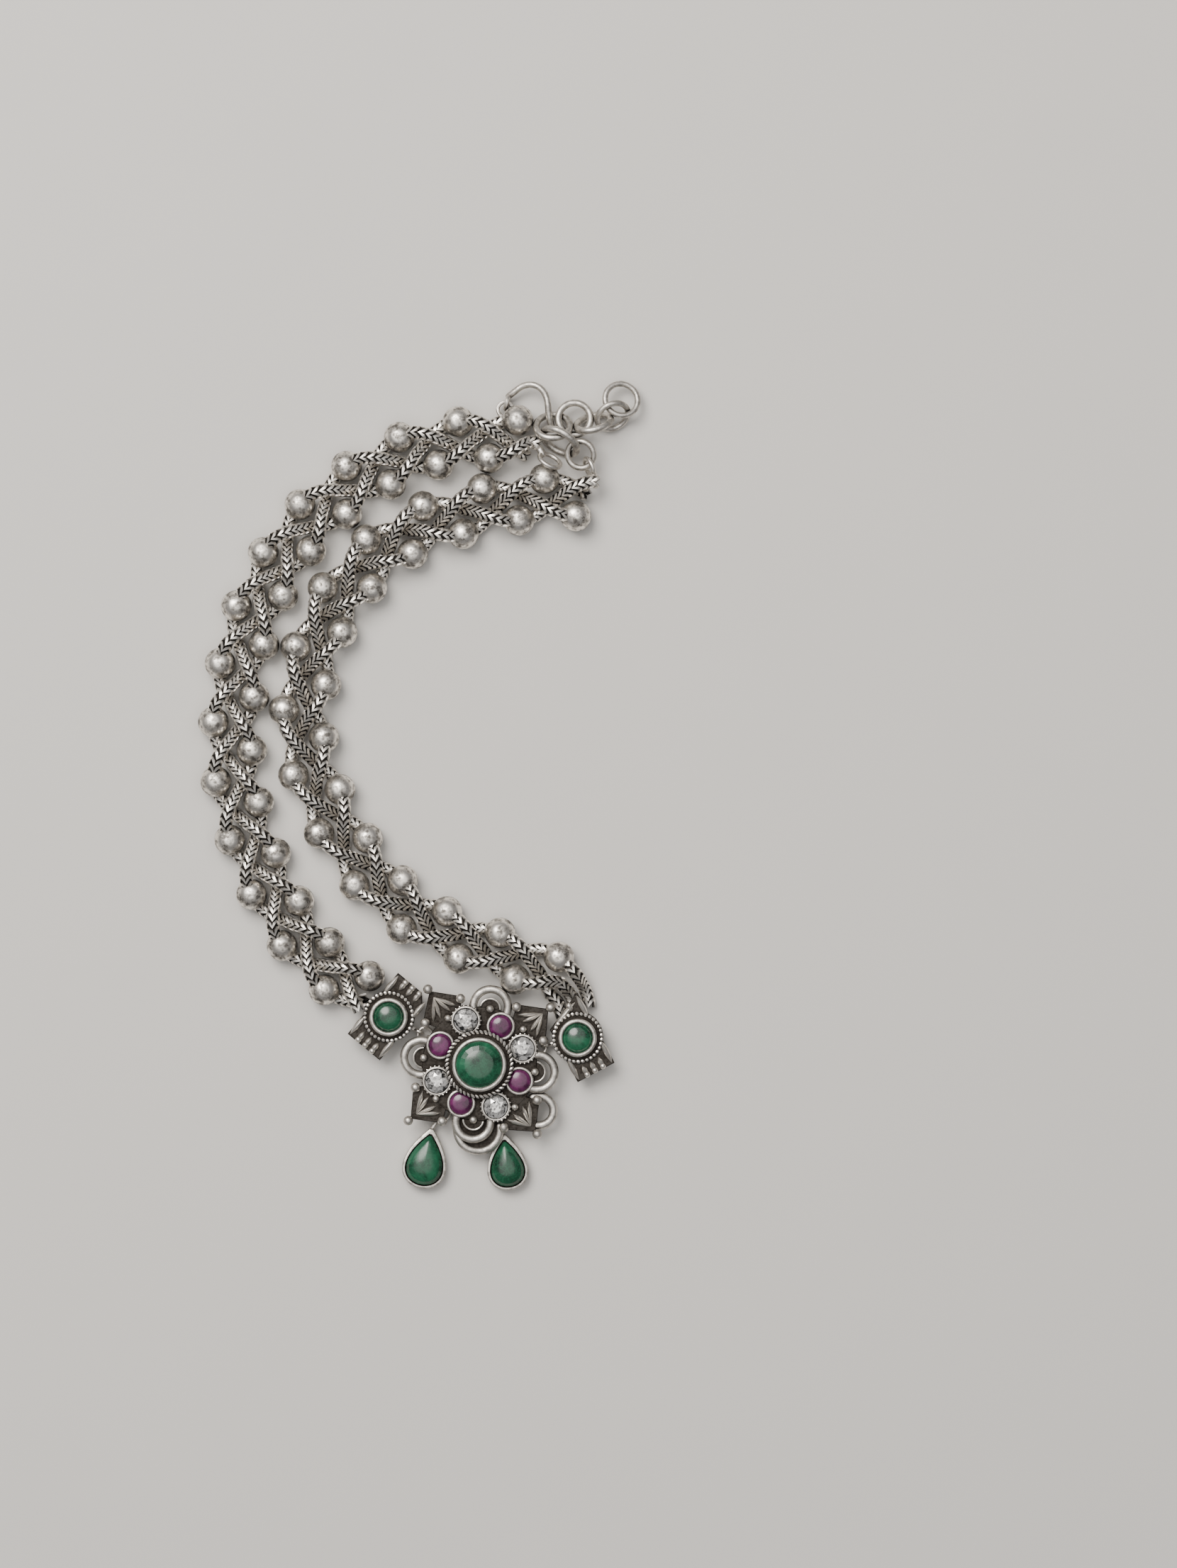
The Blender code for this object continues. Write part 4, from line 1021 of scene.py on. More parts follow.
def stone_clouds_group():
    """Cloudy veins and inclusions in a stone."""
    tree, given, result = new_group(
        "stone_clouds",
        [("Vector", "NodeSocketVector", None), ("Cloud Scale", "NodeSocketFloat", 300.0)],
        [("Cloud", "NodeSocketFloat"), ("Vein", "NodeSocketFloat")],
    )
    nodes = tree.nodes
    cloud = fill(nodes.new("ShaderNodeTexNoise"), detail=5.0, distortion=0.8)
    vein = fill(nodes.new("ShaderNodeTexNoise"), detail=3.0, distortion=2.2)
    cloud_ramp = ramp(nodes, (0.36, 0.0), (0.66, 1.0))
    vein_ramp = ramp(nodes, (0.44, 0.0), (0.5, 1.0), (0.56, 0.0))
    connect(
        tree,
        (given.outputs["Vector"], cloud.inputs["Vector"]),
        (given.outputs["Cloud Scale"], cloud.inputs["Scale"]),
        (given.outputs["Vector"], vein.inputs["Vector"]),
        (multiplied(tree, given.outputs["Cloud Scale"], 3.1), vein.inputs["Scale"]),
        (cloud.outputs["Fac"], cloud_ramp.inputs["Fac"]),
        (vein.outputs["Fac"], vein_ramp.inputs["Fac"]),
        (cloud_ramp.outputs["Color"], result.inputs["Cloud"]),
        (vein_ramp.outputs["Color"], result.inputs["Vein"]),
    )
    return tree


def cloudy_stone(name, tone):
    """A cloudy coloured stone with this middle tone, and the rest from CLOUDY_STONES."""
    found = bpy.data.materials.get(name)
    if found:
        return found
    look = CLOUDY_STONES[name]
    made, tree, shader, place = new_material(name)
    nodes = tree.nodes
    group = fill(placed_group(nodes, "stone_clouds", stone_clouds_group), cloud_scale=look["scale"])
    dark, light = look["dark"], look["light"]
    body = mixed(nodes, [part * dark for part in tone], [part * light for part in tone])
    veined = mixed(nodes, None, [min(part * light * VEIN_LIGHT + VEIN_LIFT, 1) for part in tone])
    rough = fill(
        nodes.new("ShaderNodeMapRange"), to_min=look["roughness"], to_max=look["roughness"] * CLOUD_ROUGHNESS
    )
    connect(
        tree,
        (place, group.inputs["Vector"]),
        (group.outputs["Cloud"], body.inputs["Factor"]),
        (multiplied(tree, group.outputs["Vein"], look["vein"]), veined.inputs["Factor"]),
        (body.outputs["Result"], veined.inputs["A"]),
        (veined.outputs["Result"], shader.inputs["Base Color"]),
        (group.outputs["Cloud"], rough.inputs["Value"]),
        (rough.outputs["Result"], shader.inputs["Roughness"]),
    )
    shader.inputs["IOR"].default_value = STONE_IOR
    fill(shader, coat_weight=0.1, coat_roughness=0.04)
    return made


def green_stone():
    return cloudy_stone("green_stone_cloudy", colours().green)


def purple_stone():
    return cloudy_stone("purple_stone_cloudy", colours().purple)


def white_stone():
    """Clear foil-backed glass with painted glints: each facet and each small patch gets a painted brightness,
    a painted reflection of its silvery back.
    """
    found = bpy.data.materials.get("white_stone_foiled")
    if found:
        return found
    made, tree, shader, place = new_material("white_stone_foiled")
    nodes = tree.nodes
    # Painted glints: a random brightness for each small cell and each facet, painted into the colour
    cells = fill(nodes.new("ShaderNodeTexVoronoi"), scale=3600.0)
    patch = nodes.new("ShaderNodeMath")
    patch.operation = "MULTIPLY_ADD"
    patch.inputs[1].default_value = 0.85
    level = ramp(nodes, (0.22, 0.04), (0.5, 0.6), (0.8, 1.0))
    colour = mixed(nodes, None, colours().white, "MULTIPLY")
    connect(
        tree,
        (place, cells.inputs["Vector"]),
        (cells.outputs["Color"], patch.inputs[0]),
        (attribute(nodes, "glint").outputs["Fac"], patch.inputs[2]),
        (patch.outputs[0], level.inputs["Fac"]),
        (level.outputs["Color"], colour.inputs["A"]),
        (colour.outputs["Result"], shader.inputs["Base Color"]),
    )
    fill(shader, roughness=0.08, metallic=0.75, coat_weight=1.0, coat_roughness=0.03)
    return made


def floor_material():
    made, tree, shader, place = new_material("pale_floor")
    grain = fill(tree.nodes.new("ShaderNodeTexNoise"), scale=60.0, detail=4.0)
    colour = mixed(tree.nodes, [part * 0.97 for part in colours().floor], colours().floor)
    connect(
        tree,
        (place, grain.inputs["Vector"]),
        (grain.outputs["Fac"], colour.inputs["Factor"]),
        (colour.outputs["Result"], shader.inputs["Base Color"]),
    )
    fill(shader, roughness=0.75)
    return made


# Stones


def buff_top(bm, outline, base, girdle, top, facet_bands=2, steps=6):
    """A stone with a foot, a flat-faced crown and a low domed top. outline(inset, height) gives its points,
    where inset runs from 0 at the girdle to 1 at the middle."""
    flank = girdle - (girdle - base) * STONE_FLANK
    rings = [outline(STONE_FOOT, base), outline(0, flank), outline(0, girdle)]
    rise = top - girdle
    crown = STONE_CROWN[:facet_bands]
    start, level = crown[-1]
    for inset, share in crown:
        rings.append(outline(inset, girdle + rise * share))
    for k in range(1, steps):
        inset = start + (1 - start) * k / steps
        bulge = 1 - ((1 - inset) / (1 - start)) ** 2
        rings.append(outline(inset, girdle + rise * (level + (1 - level) * bulge)))
    bands = skin(bm, rings)
    for face in bands[0] + [face for band in bands[2 + facet_bands:] for face in band]:
        face.smooth = True
    bm.faces.ensure_lookup_table()
    bm.faces[-1].smooth = True


def round_outline(radius, matrix, steps):
    """Outlines of a round stone, for buff_top."""
    def outline(inset, height):
        return [matrix @ polar(radius * (1 - inset), 360 * k / steps, height) for k in range(steps)]

    return outline


def teardrop(length, width, tip, height, matrix, count):
    """A pear outline that starts at its tip and runs towards -Y."""
    widest = math.acos(-DROP_FULLNESS / (DROP_FULLNESS + 2))
    share = math.sin(widest) * math.sin(widest / 2) ** DROP_FULLNESS
    points = []
    for k in range(count):
        turn = math.radians(DROP_BLUNT + (360 - 2 * DROP_BLUNT) * k / (count - 1))
        across = math.sin(turn) * math.sin(turn / 2) ** DROP_FULLNESS * width / 2 / share
        points.append(matrix @ Vector((across, -tip - length / 2 * (1 - math.cos(turn)), height)))
    return points[::-1]


def pear_outline(drop, inset_size, tip, matrix, count):
    """Outlines of a pear stone that shrink towards the middle of its round end."""
    length = drop["length"] - tip - inset_size
    width = drop["width"] - 2 * inset_size
    heart = Vector((0, -tip - length * PEAR_HEART, 0))
    flat = teardrop(length, width, tip, 0, Matrix(), count)

    def outline(inset, height):
        return [matrix @ (point.lerp(heart, inset) + Vector((0, 0, height))) for point in flat]

    return outline


def brilliant(bm, diameter, bottom, height, matrix, count=8):
    """A small round stone with a table, star facets, kite facets and girdle facets."""
    radius = diameter / 2
    girdle = bottom + BRILLIANT["girdle"] * height
    top = bottom + height

    def spots(share, level, offset, number):
        turns = (360 * (k + offset) / number for k in range(number))
        return [bm.verts.new(matrix @ polar(radius * share, turn, level)) for turn in turns]

    foot = spots(BRILLIANT["foot"], bottom, 0, 2 * count)
    rim = spots(1.0, girdle, 0, 2 * count)
    middle = spots(BRILLIANT["star"], girdle + BRILLIANT["star_rise"] * (top - girdle), 0.5, count)
    table = spots(BRILLIANT["table"], top, 0, count)
    bm.faces.new(table)
    bm.faces.new(reversed(foot))
    for k in range(2 * count):
        j = (k + 1) % (2 * count)
        bm.faces.new((foot[k], foot[j], rim[j], rim[k]))
    for k in range(count):
        j = (k + 1) % count
        bm.faces.new((table[k], middle[k], table[j]))
        bm.faces.new((middle[k - 1], rim[2 * k], middle[k], table[k]))
        bm.faces.new((rim[2 * k], rim[2 * k + 1], middle[k]))
        bm.faces.new((rim[2 * k + 1], rim[(2 * k + 2) % (2 * count)], middle[k]))


def add_glint(mesh, seed):
    """A painted glint for each facet: a random brightness that the white stone's colour takes up."""
    rng = random.Random(seed)
    glint = mesh.attributes.new("glint", "FLOAT", "FACE")
    glint.data.foreach_set("value", [rng.uniform(*GLINT_RANGE) for _ in mesh.polygons])
    glint.data[0].value = TABLE_GLINT


def small_settings():
    """(name, place, stone diameter) of the eight small stones, in turn."""
    for number, quarter in enumerate(FLOWER_QUARTERS, 1):
        yield f"purple_stone_{number}", polar(PURPLE_ORBIT, quarter["purple"]), PURPLE_STONE_D
        yield f"white_stone_{number}", polar(WHITE_ORBIT, quarter["white"]), WHITE_STONE_D


def stone_levels(base, height):
    """The heights of a stone's foot, girdle and top."""
    return base, base + GIRDLE_SHARE * height, base + height


def green_gem(name, node, outline, levels, *options):
    mesh = drawn(name, buff_top, outline, *levels, *options)
    piece(name, mesh, green_stone(), [node], sharp=0)


def make_medallion_stones():
    outline = round_outline(MAIN_STONE_D / 2, Matrix(), STONE_SIDES["main"])
    green_gem("main_gem", "main_stone", outline, stone_levels(DRUM_TOP + SEAT_GAP, MAIN_STONE_HEIGHT))
    seat, girdle, top = PLATE_TOP + SEAT_GAP, PLATE_TOP + SMALL_GIRDLE, PLATE_TOP + SMALL_STONE_HEIGHT
    for name, place, size in small_settings():
        # Each stone is turned its own way, so their facets don't line up
        matrix = frame_at(place, 17 * sum(map(ord, name)) % 45)
        gem = name.replace("stone", "gem")
        if name.startswith("white"):
            mesh = drawn(gem, brilliant, size, seat, SMALL_STONE_HEIGHT, matrix)
            add_glint(mesh, name)
            piece(gem, mesh, white_stone(), [name], sharp=0)
        else:
            outline = round_outline(size / 2, matrix, STONE_SIDES["small"])
            mesh = drawn(gem, buff_top, outline, seat, girdle, top, 1)
            piece(gem, mesh, purple_stone(), [name], sharp=0)


# Medallion


def draw_medallion_back(bm):
    rim = PLATE_BOTTOM + EASE
    turned(bm, [(BOSS_RADIUS - 2 * EASE, 0), (BOSS_RADIUS, 2 * EASE), (BOSS_RADIUS, rim)])


def draw_medallion_plate(bm):
    shoulder = PLATE_TOP - EASE
    turned(bm, [(PLATE_RADIUS, PLATE_BOTTOM), (PLATE_RADIUS, shoulder), (PLATE_RADIUS - EASE, PLATE_TOP)])
    turned(bm, [(DRUM_RADIUS, PLATE_TOP - SINK), (DRUM_RADIUS, DRUM_TOP)])
    for quarter in FLOWER_QUARTERS:
        angle = quarter["leaf"]
        outline = [
            polar(PLATE_RADIUS * 0.6, angle), polar(LEAF_FLANK, angle - LEAF_FLANK_ANGLE),
            polar(LEAF_TIP, angle), polar(LEAF_FLANK, angle + LEAF_FLANK_ANGLE),
        ]
        plate(bm, outline, PLATE_BOTTOM + EASE / 2, PLATE_TOP - EASE / 2)
        lobe = frame_at(polar(BEAD_ORBITS["crescent"], quarter["crescent"]))
        turned(bm, [(LOBE_RADIUS, PLATE_BOTTOM + EASE), (LOBE_RADIUS, PLATE_TOP - EASE)], LOBE_STEPS, lobe)
    back = frame_at(polar(BACK_CRESCENT["orbit"], BACK_CRESCENT["angle"]))
    radius, height = BACK_CRESCENT["radius"], BACK_CRESCENT["z"]
    turned(bm, [(radius, height - BACK_PLATE_T), (radius, height)], SMALL_TURN_STEPS, back)


def draw_leaf_work(bm):
    """The petals of the four leaf corners."""
    top = PLATE_TOP - EASE / 2
    for quarter in FLOWER_QUARTERS:
        angle = quarter["leaf"]
        root = polar(LEAF_TIP - LARGE_BEAD_D * 0.8, angle, top)
        for turn, length in LEAF_FAN:
            tip = root + polar(length, angle + 180 + turn)
            petal(bm, root, tip, LEAF_WIDTH * PETAL["width"], LEAF_HEIGHT * PETAL["height"], PETAL["fullest"])


def crescent(bm, matrix, shape, steps, sides):
    sweep(bm, arc(matrix, shape["radius"], shape["half_angle"], steps), shape["wire"] / 2, sides)


def draw_crescents(bm):
    height = PLATE_TOP - CRESCENT_SINK
    for quarter in FLOWER_QUARTERS:
        angle = quarter["crescent"]
        at = frame_at(polar(CRESCENT["orbit"], angle, height), angle)
        crescent(bm, at, CRESCENT, ARC_STEPS, THICK_SIDES)
        rim = frame_at(polar(BEAD_ORBITS["crescent"], angle, PLATE_TOP), angle)
        crescent(bm, rim, INNER_RIM, EYELET_STEPS, THIN_SIDES)
    for shape in (BACK_CRESCENT, HALF_MOON):
        turn = shape["angle"] if shape is BACK_CRESCENT else 0
        at = frame_at(polar(shape["orbit"], shape["angle"], shape["z"]), turn)
        crescent(bm, at, shape, ARC_STEPS, THICK_SIDES)


def draw_beads(bm):
    for quarter in FLOWER_QUARTERS:
        angle = quarter["leaf"]
        for orbit, turn, size in (
            ("tip", 0, LARGE_BEAD_D), ("flank", -FLANK_BEAD_ANGLE, LARGE_BEAD_D),
            ("flank", FLANK_BEAD_ANGLE, LARGE_BEAD_D), ("leaf", 0, SMALL_BEAD_D),
        ):
            bead(bm, polar(BEAD_ORBITS[orbit], angle + turn, PLATE_TOP + size * BEAD_LIFT), size * BEAD_SWELL)
        at = polar(BEAD_ORBITS["crescent"], quarter["crescent"], PLATE_TOP + SMALL_BEAD_D * BEAD_LIFT)
        bead(bm, at, SMALL_BEAD_D * CRESCENT_BEAD_SWELL)


def draw_bezels(bm):
    seat = MAIN_STONE_D / 2 + SEAT_GAP
    lip(bm, seat, seat + MAIN_BEZEL_WALL, DRUM_TOP - SINK / 2, MAIN_BEZEL_TOP, over=LIP_OVER["main"])
    for _, place, size in small_settings():
        seat = size / 2 + SEAT_GAP
        rim = (seat, seat + SMALL_BEZEL_WALL, PLATE_TOP - SINK, PLATE_TOP + SMALL_BEZEL_HEIGHT)
        lip(bm, *rim, frame_at(place), BEZEL_STEPS, LIP_OVER["small"])


def link_angles():
    """The directions in which the boxes and the drops hang from the medallion."""
    for kind, hung in (("box", SIDE_BOXES), ("drop", DROPS)):
        for one in hung:
            yield f"{kind}_link_{one['side']}", one["angle"]


def upright_eyelet(bm, place, degrees, neck_end=None):
    """An upright ring in the plane of its direction and Z, on a short neck when it needs one."""
    matrix = frame_at(place, degrees) @ Matrix.Rotation(math.radians(90), 4, "X")
    hoop(bm, matrix, EYELET_RADIUS, EYELET_WIRE, EYELET_STEPS, THIN_SIDES)
    if neck_end is not None:
        start = place + (neck_end - place).normalized() * EYELET_RADIUS
        sweep(bm, [start, start.lerp(neck_end, 0.5), neck_end], NECK_WIRE / 2, THIN_SIDES)


def draw_medallion_eyelets(bm):
    for _, angle in link_angles():
        upright_eyelet(bm, polar(INNER_EYELET_ORBIT, angle, LINK_Z), angle)


def ring_of_granules(name, radius, height, count, unit, matrix=Matrix(), core=0.1 * MM, seed=1):
    """A piece of granules laid round a ring of wire."""
    path = [matrix @ polar(radius, 360 * k / ROPE_STEPS, height) for k in range(ROPE_STEPS)]
    mesh = laid(
        name, path, True, unit=unit, count=count, size_spread=0.07, turn_spread=0.08,
        core_radius=core, seed=seed, finish=silver("granule_silver"),
    )
    piece(name, mesh, silver("granule_silver"))


def make_medallion():
    for name, draw, finish, nodes in (
        ("medallion_plate", draw_medallion_plate, "plate_silver", ["medallion"]),
        ("medallion_back", draw_medallion_back, "back_silver", ()),
        ("medallion_leaves", draw_leaf_work, "trim_silver", ()),
        ("medallion_crescents", draw_crescents, "polished_silver", ()),
        ("medallion_beads", draw_beads, "polished_silver", ()),
        ("medallion_bezels", draw_bezels, "polished_silver", ()),
        ("medallion_eyelets", draw_medallion_eyelets, "trim_silver", ()),
    ):
        piece(name, drawn(name, draw), silver(finish), nodes)
    count = sizes().granules
    turn = 2 * math.pi * ROPE_RADIUS / count
    rope = granule_unit(
        "rope_turn", turn * ROPE["length"], turn * ROPE["width"], ROPE["height"], ROPE["slant"],
    )
    ring_of_granules("medallion_rope", ROPE_RADIUS, DRUM_TOP + EASE / 2, count, rope, core=ROPE["core"])
    drop_unit(rope)
    milled = granule_unit("milled_bead", *MILLED_BEAD, 0)
    for number, (name, place, size) in enumerate(small_settings()):
        if name.startswith("white"):
            radius = size / 2 + SEAT_GAP + SMALL_BEZEL_WALL
            ring_of_granules(
                f"{name}_milling", radius, PLATE_TOP + MILLING_HEIGHT, sizes().milling, milled,
                frame_at(place), core=MILLING_CORE, seed=number,
            )
    drop_unit(milled)


# Side boxes


def box_outline(box):
    """The box's plate, anticlockwise from its back, with one corner cut off."""
    length, width, end = BOX_HALF_LENGTH, BOX_HALF_WIDTH, box["cut_end"]
    cut_length = 2 * length * box["cut_length"]
    cut_width = 2 * width * box["cut_width"]
    outline = [
        (-length, -end * width), (length, -end * width), (length, end * (width - cut_width)),
        (length - cut_length, end * width), (-length, end * width),
    ]
    return [Vector((*corner, 0)) for corner in (outline if end > 0 else outline[::-1])]


def box_ridges(box):
    """(start, end) in the box's frame of its long leaf-shaped ridges and its short ribs."""
    length, width, end = BOX_HALF_LENGTH, BOX_HALF_WIDTH, box["cut_end"]
    inner = width * 0.31
    outer = width - 0.5 * RIDGE_INSET
    edge = length - RIDGE_INSET
    for side in (-1, 1):
        yield (-edge, side * inner), (-edge, side * outer)
    for side in box["whole_ends"]:
        yield (edge, side * inner), (edge, side * (outer - width * 0.1 * (side == end)))
        for place in (-RIB_SPACING, 0, RIB_SPACING):
            yield (place, side * (width - RIB_LENGTH)), (place, side * (width - RIDGE_INSET / 2))
    if end not in box["whole_ends"]:
        drop = 2 * width * box["cut_width"]
        yield (length * 0.8, end * (width - drop)), (-length * 0.7, end * (width - 0.35 * drop))
        yield (-length * 0.35, end * width * 0.64), (-length * 0.35, end * width * 0.84)


def draw_box_plate(bm, box, place):
    turned(bm, [(BOX_BACK_RADIUS, 0), (BOX_BACK_RADIUS, PLATE_BOTTOM + EASE)], SMALL_TURN_STEPS, place)
    plate(bm, [place @ corner for corner in box_outline(box)], PLATE_BOTTOM, BOX_PLATE_TOP)
    drum = [(BOX_ROPE_RADIUS, PLATE_BOTTOM + EASE / 2), (BOX_ROPE_RADIUS, BOX_PLATE_TOP + EASE)]
    turned(bm, drum, SMALL_TURN_STEPS, place)


def draw_box_ridges(bm, box, place):
    """The long ridges, and the ribs, each with a bead at its outer end."""
    for start, end in box_ridges(box):
        ends = (place @ Vector((*start, BOX_PLATE_TOP)), place @ Vector((*end, BOX_PLATE_TOP)))
        length = (ends[1] - ends[0]).length
        petal(bm, *ends, RIDGE_WIDTH * RIDGE_SWELL, RIDGE_HEIGHT * RIDGE_SWELL, 0.5)
        if length < RIB_LENGTH:
            bead(bm, ends[1].lerp(ends[0], 0.12), RIB_BEAD_D, 14, 8)


def draw_box_bezel(bm, box, place):
    seat = BOX_STONE_D / 2 + SEAT_GAP
    top = BOX_PLATE_TOP + BOX_BEZEL_HEIGHT
    lip(bm, seat, seat + BOX_BEZEL_WALL, BOX_PLATE_TOP - EASE, top, place, RING_STEPS, LIP_OVER["box"])


def draw_box_eyelet(bm, box):
    angle = box["angle"]
    neck = OUTER_EYELET_ORBIT + box["reach"] - BOX_BACK_RADIUS + NECK_DEPTH
    upright_eyelet(bm, polar(OUTER_EYELET_ORBIT, angle, LINK_Z), angle, polar(neck, angle, LINK_Z))


def make_box(box, number):
    place = frame_at(polar(OUTER_EYELET_ORBIT + box["reach"], box["angle"]), box["turn"])
    name = f"side_box_{box['side']}"
    for label, draw, given, finish, nodes in (
        ("plate", draw_box_plate, (box, place), "plate_silver", [name]),
        ("ridges", draw_box_ridges, (box, place), "trim_silver", ()),
        ("bezel", draw_box_bezel, (box, place), "polished_silver", ()),
        ("eyelet", draw_box_eyelet, (box,), "trim_silver", ()),
    ):
        piece(f"{name}_{label}", drawn(name, draw, *given), silver(finish), nodes)
    count = sizes().box_granules
    spacing = 2 * math.pi * BOX_ROPE_RADIUS / count
    granule = granule_unit(
        "box_granule", spacing * BOX_ROPE["length"], spacing * BOX_ROPE["width"], BOX_ROPE["height"],
        BOX_ROPE["slant"],
    )
    ring_of_granules(
        f"{name}_rope", BOX_ROPE_RADIUS, BOX_PLATE_TOP + 1.5 * EASE, count, granule, place,
        core=BOX_ROPE["core"], seed=number,
    )
    drop_unit(granule)
    outline = round_outline(BOX_STONE_D / 2, place, STONE_SIDES["box"])
    levels = stone_levels(BOX_PLATE_TOP + 2 * SEAT_GAP, BOX_STONE_HEIGHT)
    green_gem(f"box_gem_{box['side']}", f"box_stone_{box['side']}", outline, levels, 1)


# Drops and links


def draw_drop_cup(bm, drop, place):
    inner_length = drop["length"] - DROP_TIP_WALL - DROP_BEZEL_WALL
    inner_width = drop["width"] - 2 * DROP_BEZEL_WALL
    bottom, top = FLOOR_GAP, FLOOR_GAP + DROP_BEZEL_HEIGHT
    ease = DROP_EASE
    outer = (drop["length"], drop["width"], 0)
    inner = (inner_length, inner_width, DROP_TIP_WALL)

    def level(form, inset, height):
        length, width, tip = form
        return teardrop(length - 2 * inset, width - 2 * inset, tip + inset, height, place, DROP_STEPS)

    rings = [
        level(outer, ease, bottom), level(outer, 0, bottom + ease), level(outer, 0, top - ease),
        level(outer, ease * 0.4, top - ease * 0.3), level(outer, ease, top), level(inner, -ease * 0.6, top),
        level(inner, 0, top - ease), level(inner, 0, bottom + DROP_FLOOR_T),
    ]
    skin(bm, rings)
    at = polar(OUTER_EYELET_ORBIT, drop["angle"], LINK_Z)
    upright_eyelet(bm, at, drop["angle"], place @ Vector((0, -DROP_TIP_WALL / 2, LINK_Z)))


def make_drop(drop):
    place = frame_at(polar(OUTER_EYELET_ORBIT + drop["reach"], drop["angle"]), drop["lean"])
    name = f"drop_{drop['side']}"
    cup = drawn(name, draw_drop_cup, drop, place)
    piece(f"{name}_cup", cup, silver("polished_silver"), [name], sharp=50)
    inset, tip = DROP_BEZEL_WALL + SEAT_GAP, DROP_TIP_WALL + 2 * SEAT_GAP
    outline = pear_outline(drop, inset, tip, place, STONE_SIDES["drop"])
    levels = stone_levels(FLOOR_GAP + DROP_FLOOR_T + SEAT_GAP, DROP_STONE_HEIGHT)
    green_gem(f"drop_gem_{drop['side']}", f"drop_stone_{drop['side']}", outline, levels, 1, 8)


def make_links():
    for name, angle in link_angles():
        at = frame_at(polar(LINK_ORBIT, angle, LINK_Z), angle)
        mesh = drawn(name, hoop, at, LINK_RADIUS, LINK_WIRE, LINK_STEPS, THIN_SIDES)
        piece(f"{name}_wire", mesh, silver("trim_silver"), [name])


# Arms


def make_strand(name, plait, arm, strand, link, number):
    begin = 0 if strand == arm["ring_strand"] else SIDE_LEAD
    path = plait.strand_path(strand, begin)
    length = sum((b - a).length for a, b in zip(path, path[1:]))
    label = f"{name}_strand_{strand}"
    mesh = laid(
        f"{label}_chain", path, False, unit=link, count=round(length / sizes().link_pitch) + 1,
        size_spread=CHAIN_SPREAD, turn_spread=CHAIN_SPREAD, core_radius=CHAIN_CORE, seed=number,
        finish=silver("chain_silver"),
    )
    piece(f"{label}_chain", mesh, silver("chain_silver"), [label], sharp=60)


def draw_balls(bm, plait):
    rng = random.Random(7)
    for strand in (1, 2, 3):
        for _, centre, way in plait.ball_places(strand):
            spin = Matrix.Rotation(rng.uniform(0, 6.28), 4, "Z")
            bmesh.ops.create_uvsphere(
                bm, u_segments=BALL_SEGMENTS, v_segments=BALL_RINGS, radius=BALL_D / 2,
                matrix=facing(centre, way) @ spin,
            )


def draw_arm_end(bm, name, plait):
    """The ring at the end of an arm and the neck that joins it to its strand."""
    ring = END_RINGS[name]
    matrix = ring_matrix(ring)
    hoop(bm, matrix, ring["radius"] * MM, ring["wire"] * MM, END_RING_STEPS)
    strand = ARMS[name]["ring_strand"]
    start, after = plait.point(0, strand), plait.point(1 * MM, strand)
    across = matrix.inverted() @ start
    across.z = 0
    nearest = matrix @ (across.normalized() * ring["radius"] * MM)
    inward = (after - start).normalized() * END_NECK_DEPTH
    sweep(bm, [start + inward, start.lerp(nearest, 0.5), nearest], END_NECK_WIRE / 2)
    if name == "outer":
        at = frame_at(Vector(HOOK_EYELET_MM) * MM)
        hoop(bm, at, HOOK_EYELET_RADIUS, HOOK_EYELET_WIRE, ARC_STEPS, EYE_SIDES)


def make_arms():
    link = foxtail_link()
    for number, name in enumerate(ARMS):
        plait = Plait(name)
        for strand in (1, 2, 3):
            make_strand(name, plait, ARMS[name], strand, link, 3 * number + strand)
        balls = drawn(f"{name}_balls", draw_balls, plait)
        # The balls' crown follows the height of the normal, so ball_silver paints shade on their lower sides
        add_crown(balls, [vertex.normal.z for vertex in balls.vertices])
        piece(f"{name}_balls", balls, silver("ball_silver"), sharp=80)
        label = f"{name}_end_ring"
        piece(label, drawn(label, draw_arm_end, name, plait), silver("trim_silver"))
    drop_unit(link)


# Clasp


def draw_hook(bm):
    place = Vector(HOOK_EYELET_MM) * MM + polar(HOOK_EYELET_RADIUS, HOOK_WAY)
    start = place + polar(HOOK_EYE_RADIUS, HOOK_WAY)
    sweep(bm, along([start, *(Vector(point) * MM for point in HOOK_ROUTE_MM)], 5), HOOK_WIRE / 2)
    upright = frame_at(place, HOOK_WAY) @ Matrix.Rotation(math.radians(90), 4, "X")
    hoop(bm, upright, HOOK_EYE_RADIUS, HOOK_EYE_WIRE, LINK_STEPS, EYE_SIDES)


def make_clasp():
    finish = silver("polished_silver")
    piece("clasp_hook_wire", drawn("clasp_hook_wire", draw_hook), finish, ["clasp_hook"])
    for name, ring in RINGS.items():
        wire = ring["wire"] * RING_FULLNESS * MM
        mesh = drawn(name, hoop, ring_matrix(ring), ring["radius"] * MM, wire)
        piece(f"{name}_wire", mesh, finish, [name])


# Stage


def area_light(name, place, size, power, colour):
    data = bpy.data.lights.new(name, "AREA")
    data.shape = "DISK"
    data.size = size
    data.energy = power
    data.color = colour
    light = bpy.data.objects.new(name, data)
    bpy.context.scene.collection.objects.link(light)
    light.location = place
    way = Vector((*VIEW_CENTRE, 0)) - Vector(place)
    light.rotation_euler = way.to_track_quat("-Z", "Y").to_euler()


